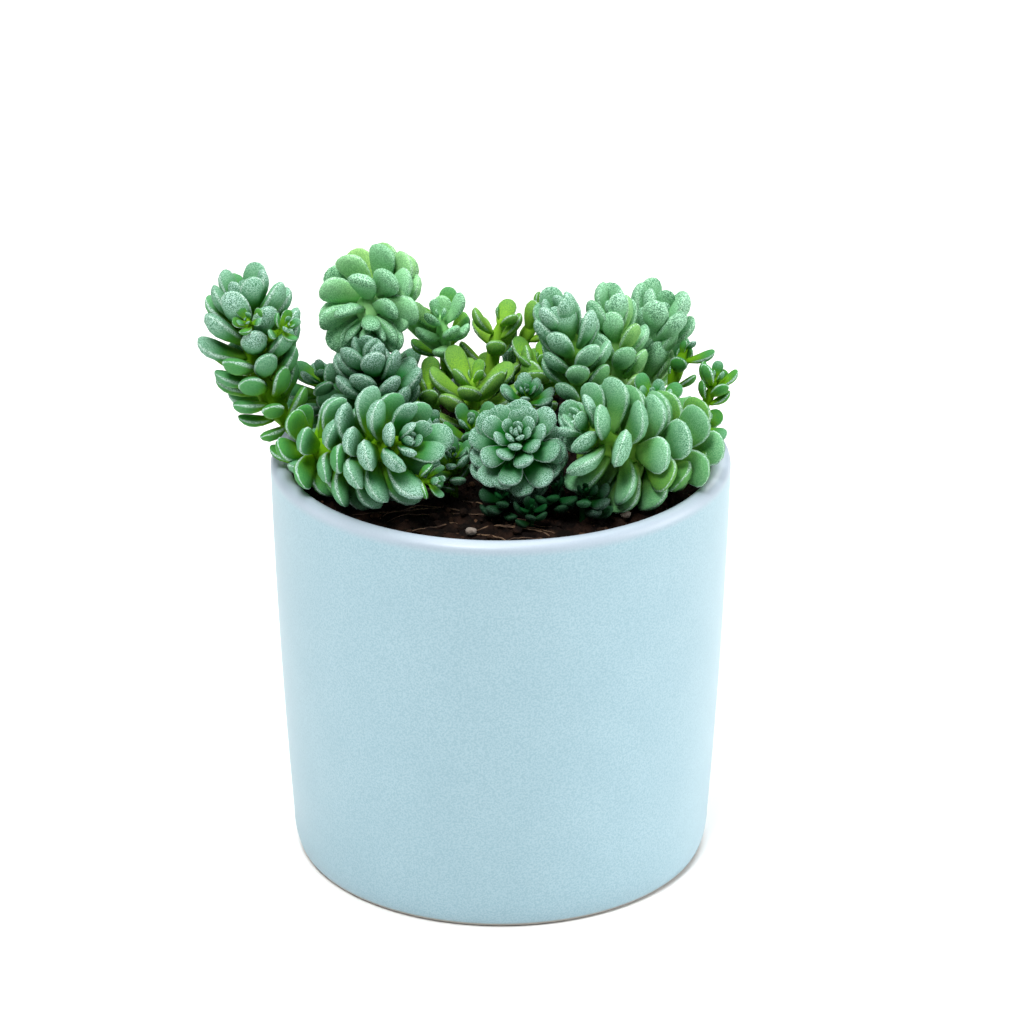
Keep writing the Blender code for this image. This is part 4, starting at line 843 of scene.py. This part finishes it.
for node, parts in stem_meshes.items():
    starts = np.cumsum([0] + [len(part[0]) for part in parts])
    points, place, kind = (np.vstack([part[k] for part in parts]) for k in (0, 3, 4))
    quads, fans = (np.vstack([part[k] + start for part, start in zip(parts, starts)])
                   for k in (1, 2))
    stem = piece(f"leafy_{node}", points, quads, fans, stonecrop, "leaf", node)
    tinted(stem, "leaf_place", place, "FLOAT_VECTOR")
    tinted(stem, "leaf_tint_and_shade", kind, "FLOAT_VECTOR")

# Studio
# A plain pale floor, a dim white surround, and soft square lights from the front, the back, the
# top, the right and the left. The camera looks down on the pot as the photograph does.
FLOOR_REACH, PALE_PAPER = 3.0, (0.9, 0.9, 0.89, 1)
corners = [(-1, -1, 0), (1, -1, 0), (1, 1, 0), (-1, 1, 0)]
floor_mesh = bpy.data.meshes.new("floor")
floor_mesh.from_pydata([(x * FLOOR_REACH, y * FLOOR_REACH, z) for x, y, z in corners], [],
                       [(0, 1, 2, 3)])
floor = bpy.data.objects.new("floor", floor_mesh)
bpy.context.scene.collection.objects.link(floor)
paper, tree, shader, add = finish_nodes("white_paper", 0.9)
shader.inputs["Base Color"].default_value = PALE_PAPER
floor_mesh.materials.append(paper)

world = bpy.data.worlds.new("white_surround")
bpy.context.scene.world = world
world.use_nodes = True
surround = world.node_tree.nodes["Background"]
surround.inputs["Color"].default_value = (1, 1, 1, 1)
surround.inputs["Strength"].default_value = 0.1


def softbox(name, place, aim, size, power):
    """A square area light of a size in metres and a power in watts, turned to face a point."""
    lamp = bpy.data.lights.new(name, "AREA")
    lamp.size = size
    lamp.energy = power
    thing = bpy.data.objects.new(name, lamp)
    thing.location = place
    away = np.array(place) - np.array(aim)
    tilt = math.acos(away[2] / np.linalg.norm(away))
    thing.rotation_euler = (tilt, 0, math.atan2(away[0], -away[1]))
    bpy.context.scene.collection.objects.link(thing)


softbox("key", (-0.2, -0.5, 0.9), (0, 0, 0.05), 0.3, 9.0)
softbox("back", (0.2, 0.6, 0.7), (0, 0, 0.06), 0.5, 4.0)
softbox("top", (0, 0, 1.0), (0, 0, 0), 0.6, 6.5)
softbox("right", (0.75, -0.05, 0.3), (0, 0, 0.04), 0.5, 4.5)
softbox("left", (-0.75, 0.05, 0.3), (0, 0, 0.04), 0.5, 1.3)

# The camera, fitted to the photograph's frame: widths and the focal length are in pixels, the
# sensor is in millimetres, and the pot's axis stands in AXIS_COLUMN. LOOKS_DOWN is in radians.
FRAME_WIDTH, FOCAL_LENGTH, AXIS_COLUMN, SENSOR_WIDTH = 1024, 4471.3, 500.77, 36
EYE, LOOKS_DOWN = (0, -0.62596, 0.3295), 0.4135
camera = bpy.data.cameras.new("camera")
camera.sensor_width = SENSOR_WIDTH
camera.lens = FOCAL_LENGTH * SENSOR_WIDTH / FRAME_WIDTH
camera.shift_x = (FRAME_WIDTH / 2 - AXIS_COLUMN) / FRAME_WIDTH
camera.clip_start, camera.clip_end = 0.02, 20
eye = bpy.data.objects.new("camera", camera)
eye.location = EYE
eye.rotation_euler = (math.pi / 2 - LOOKS_DOWN, 0, 0)
bpy.context.scene.collection.objects.link(eye)
bpy.context.scene.camera = eye
bpy.context.scene.view_settings.view_transform = "Standard"
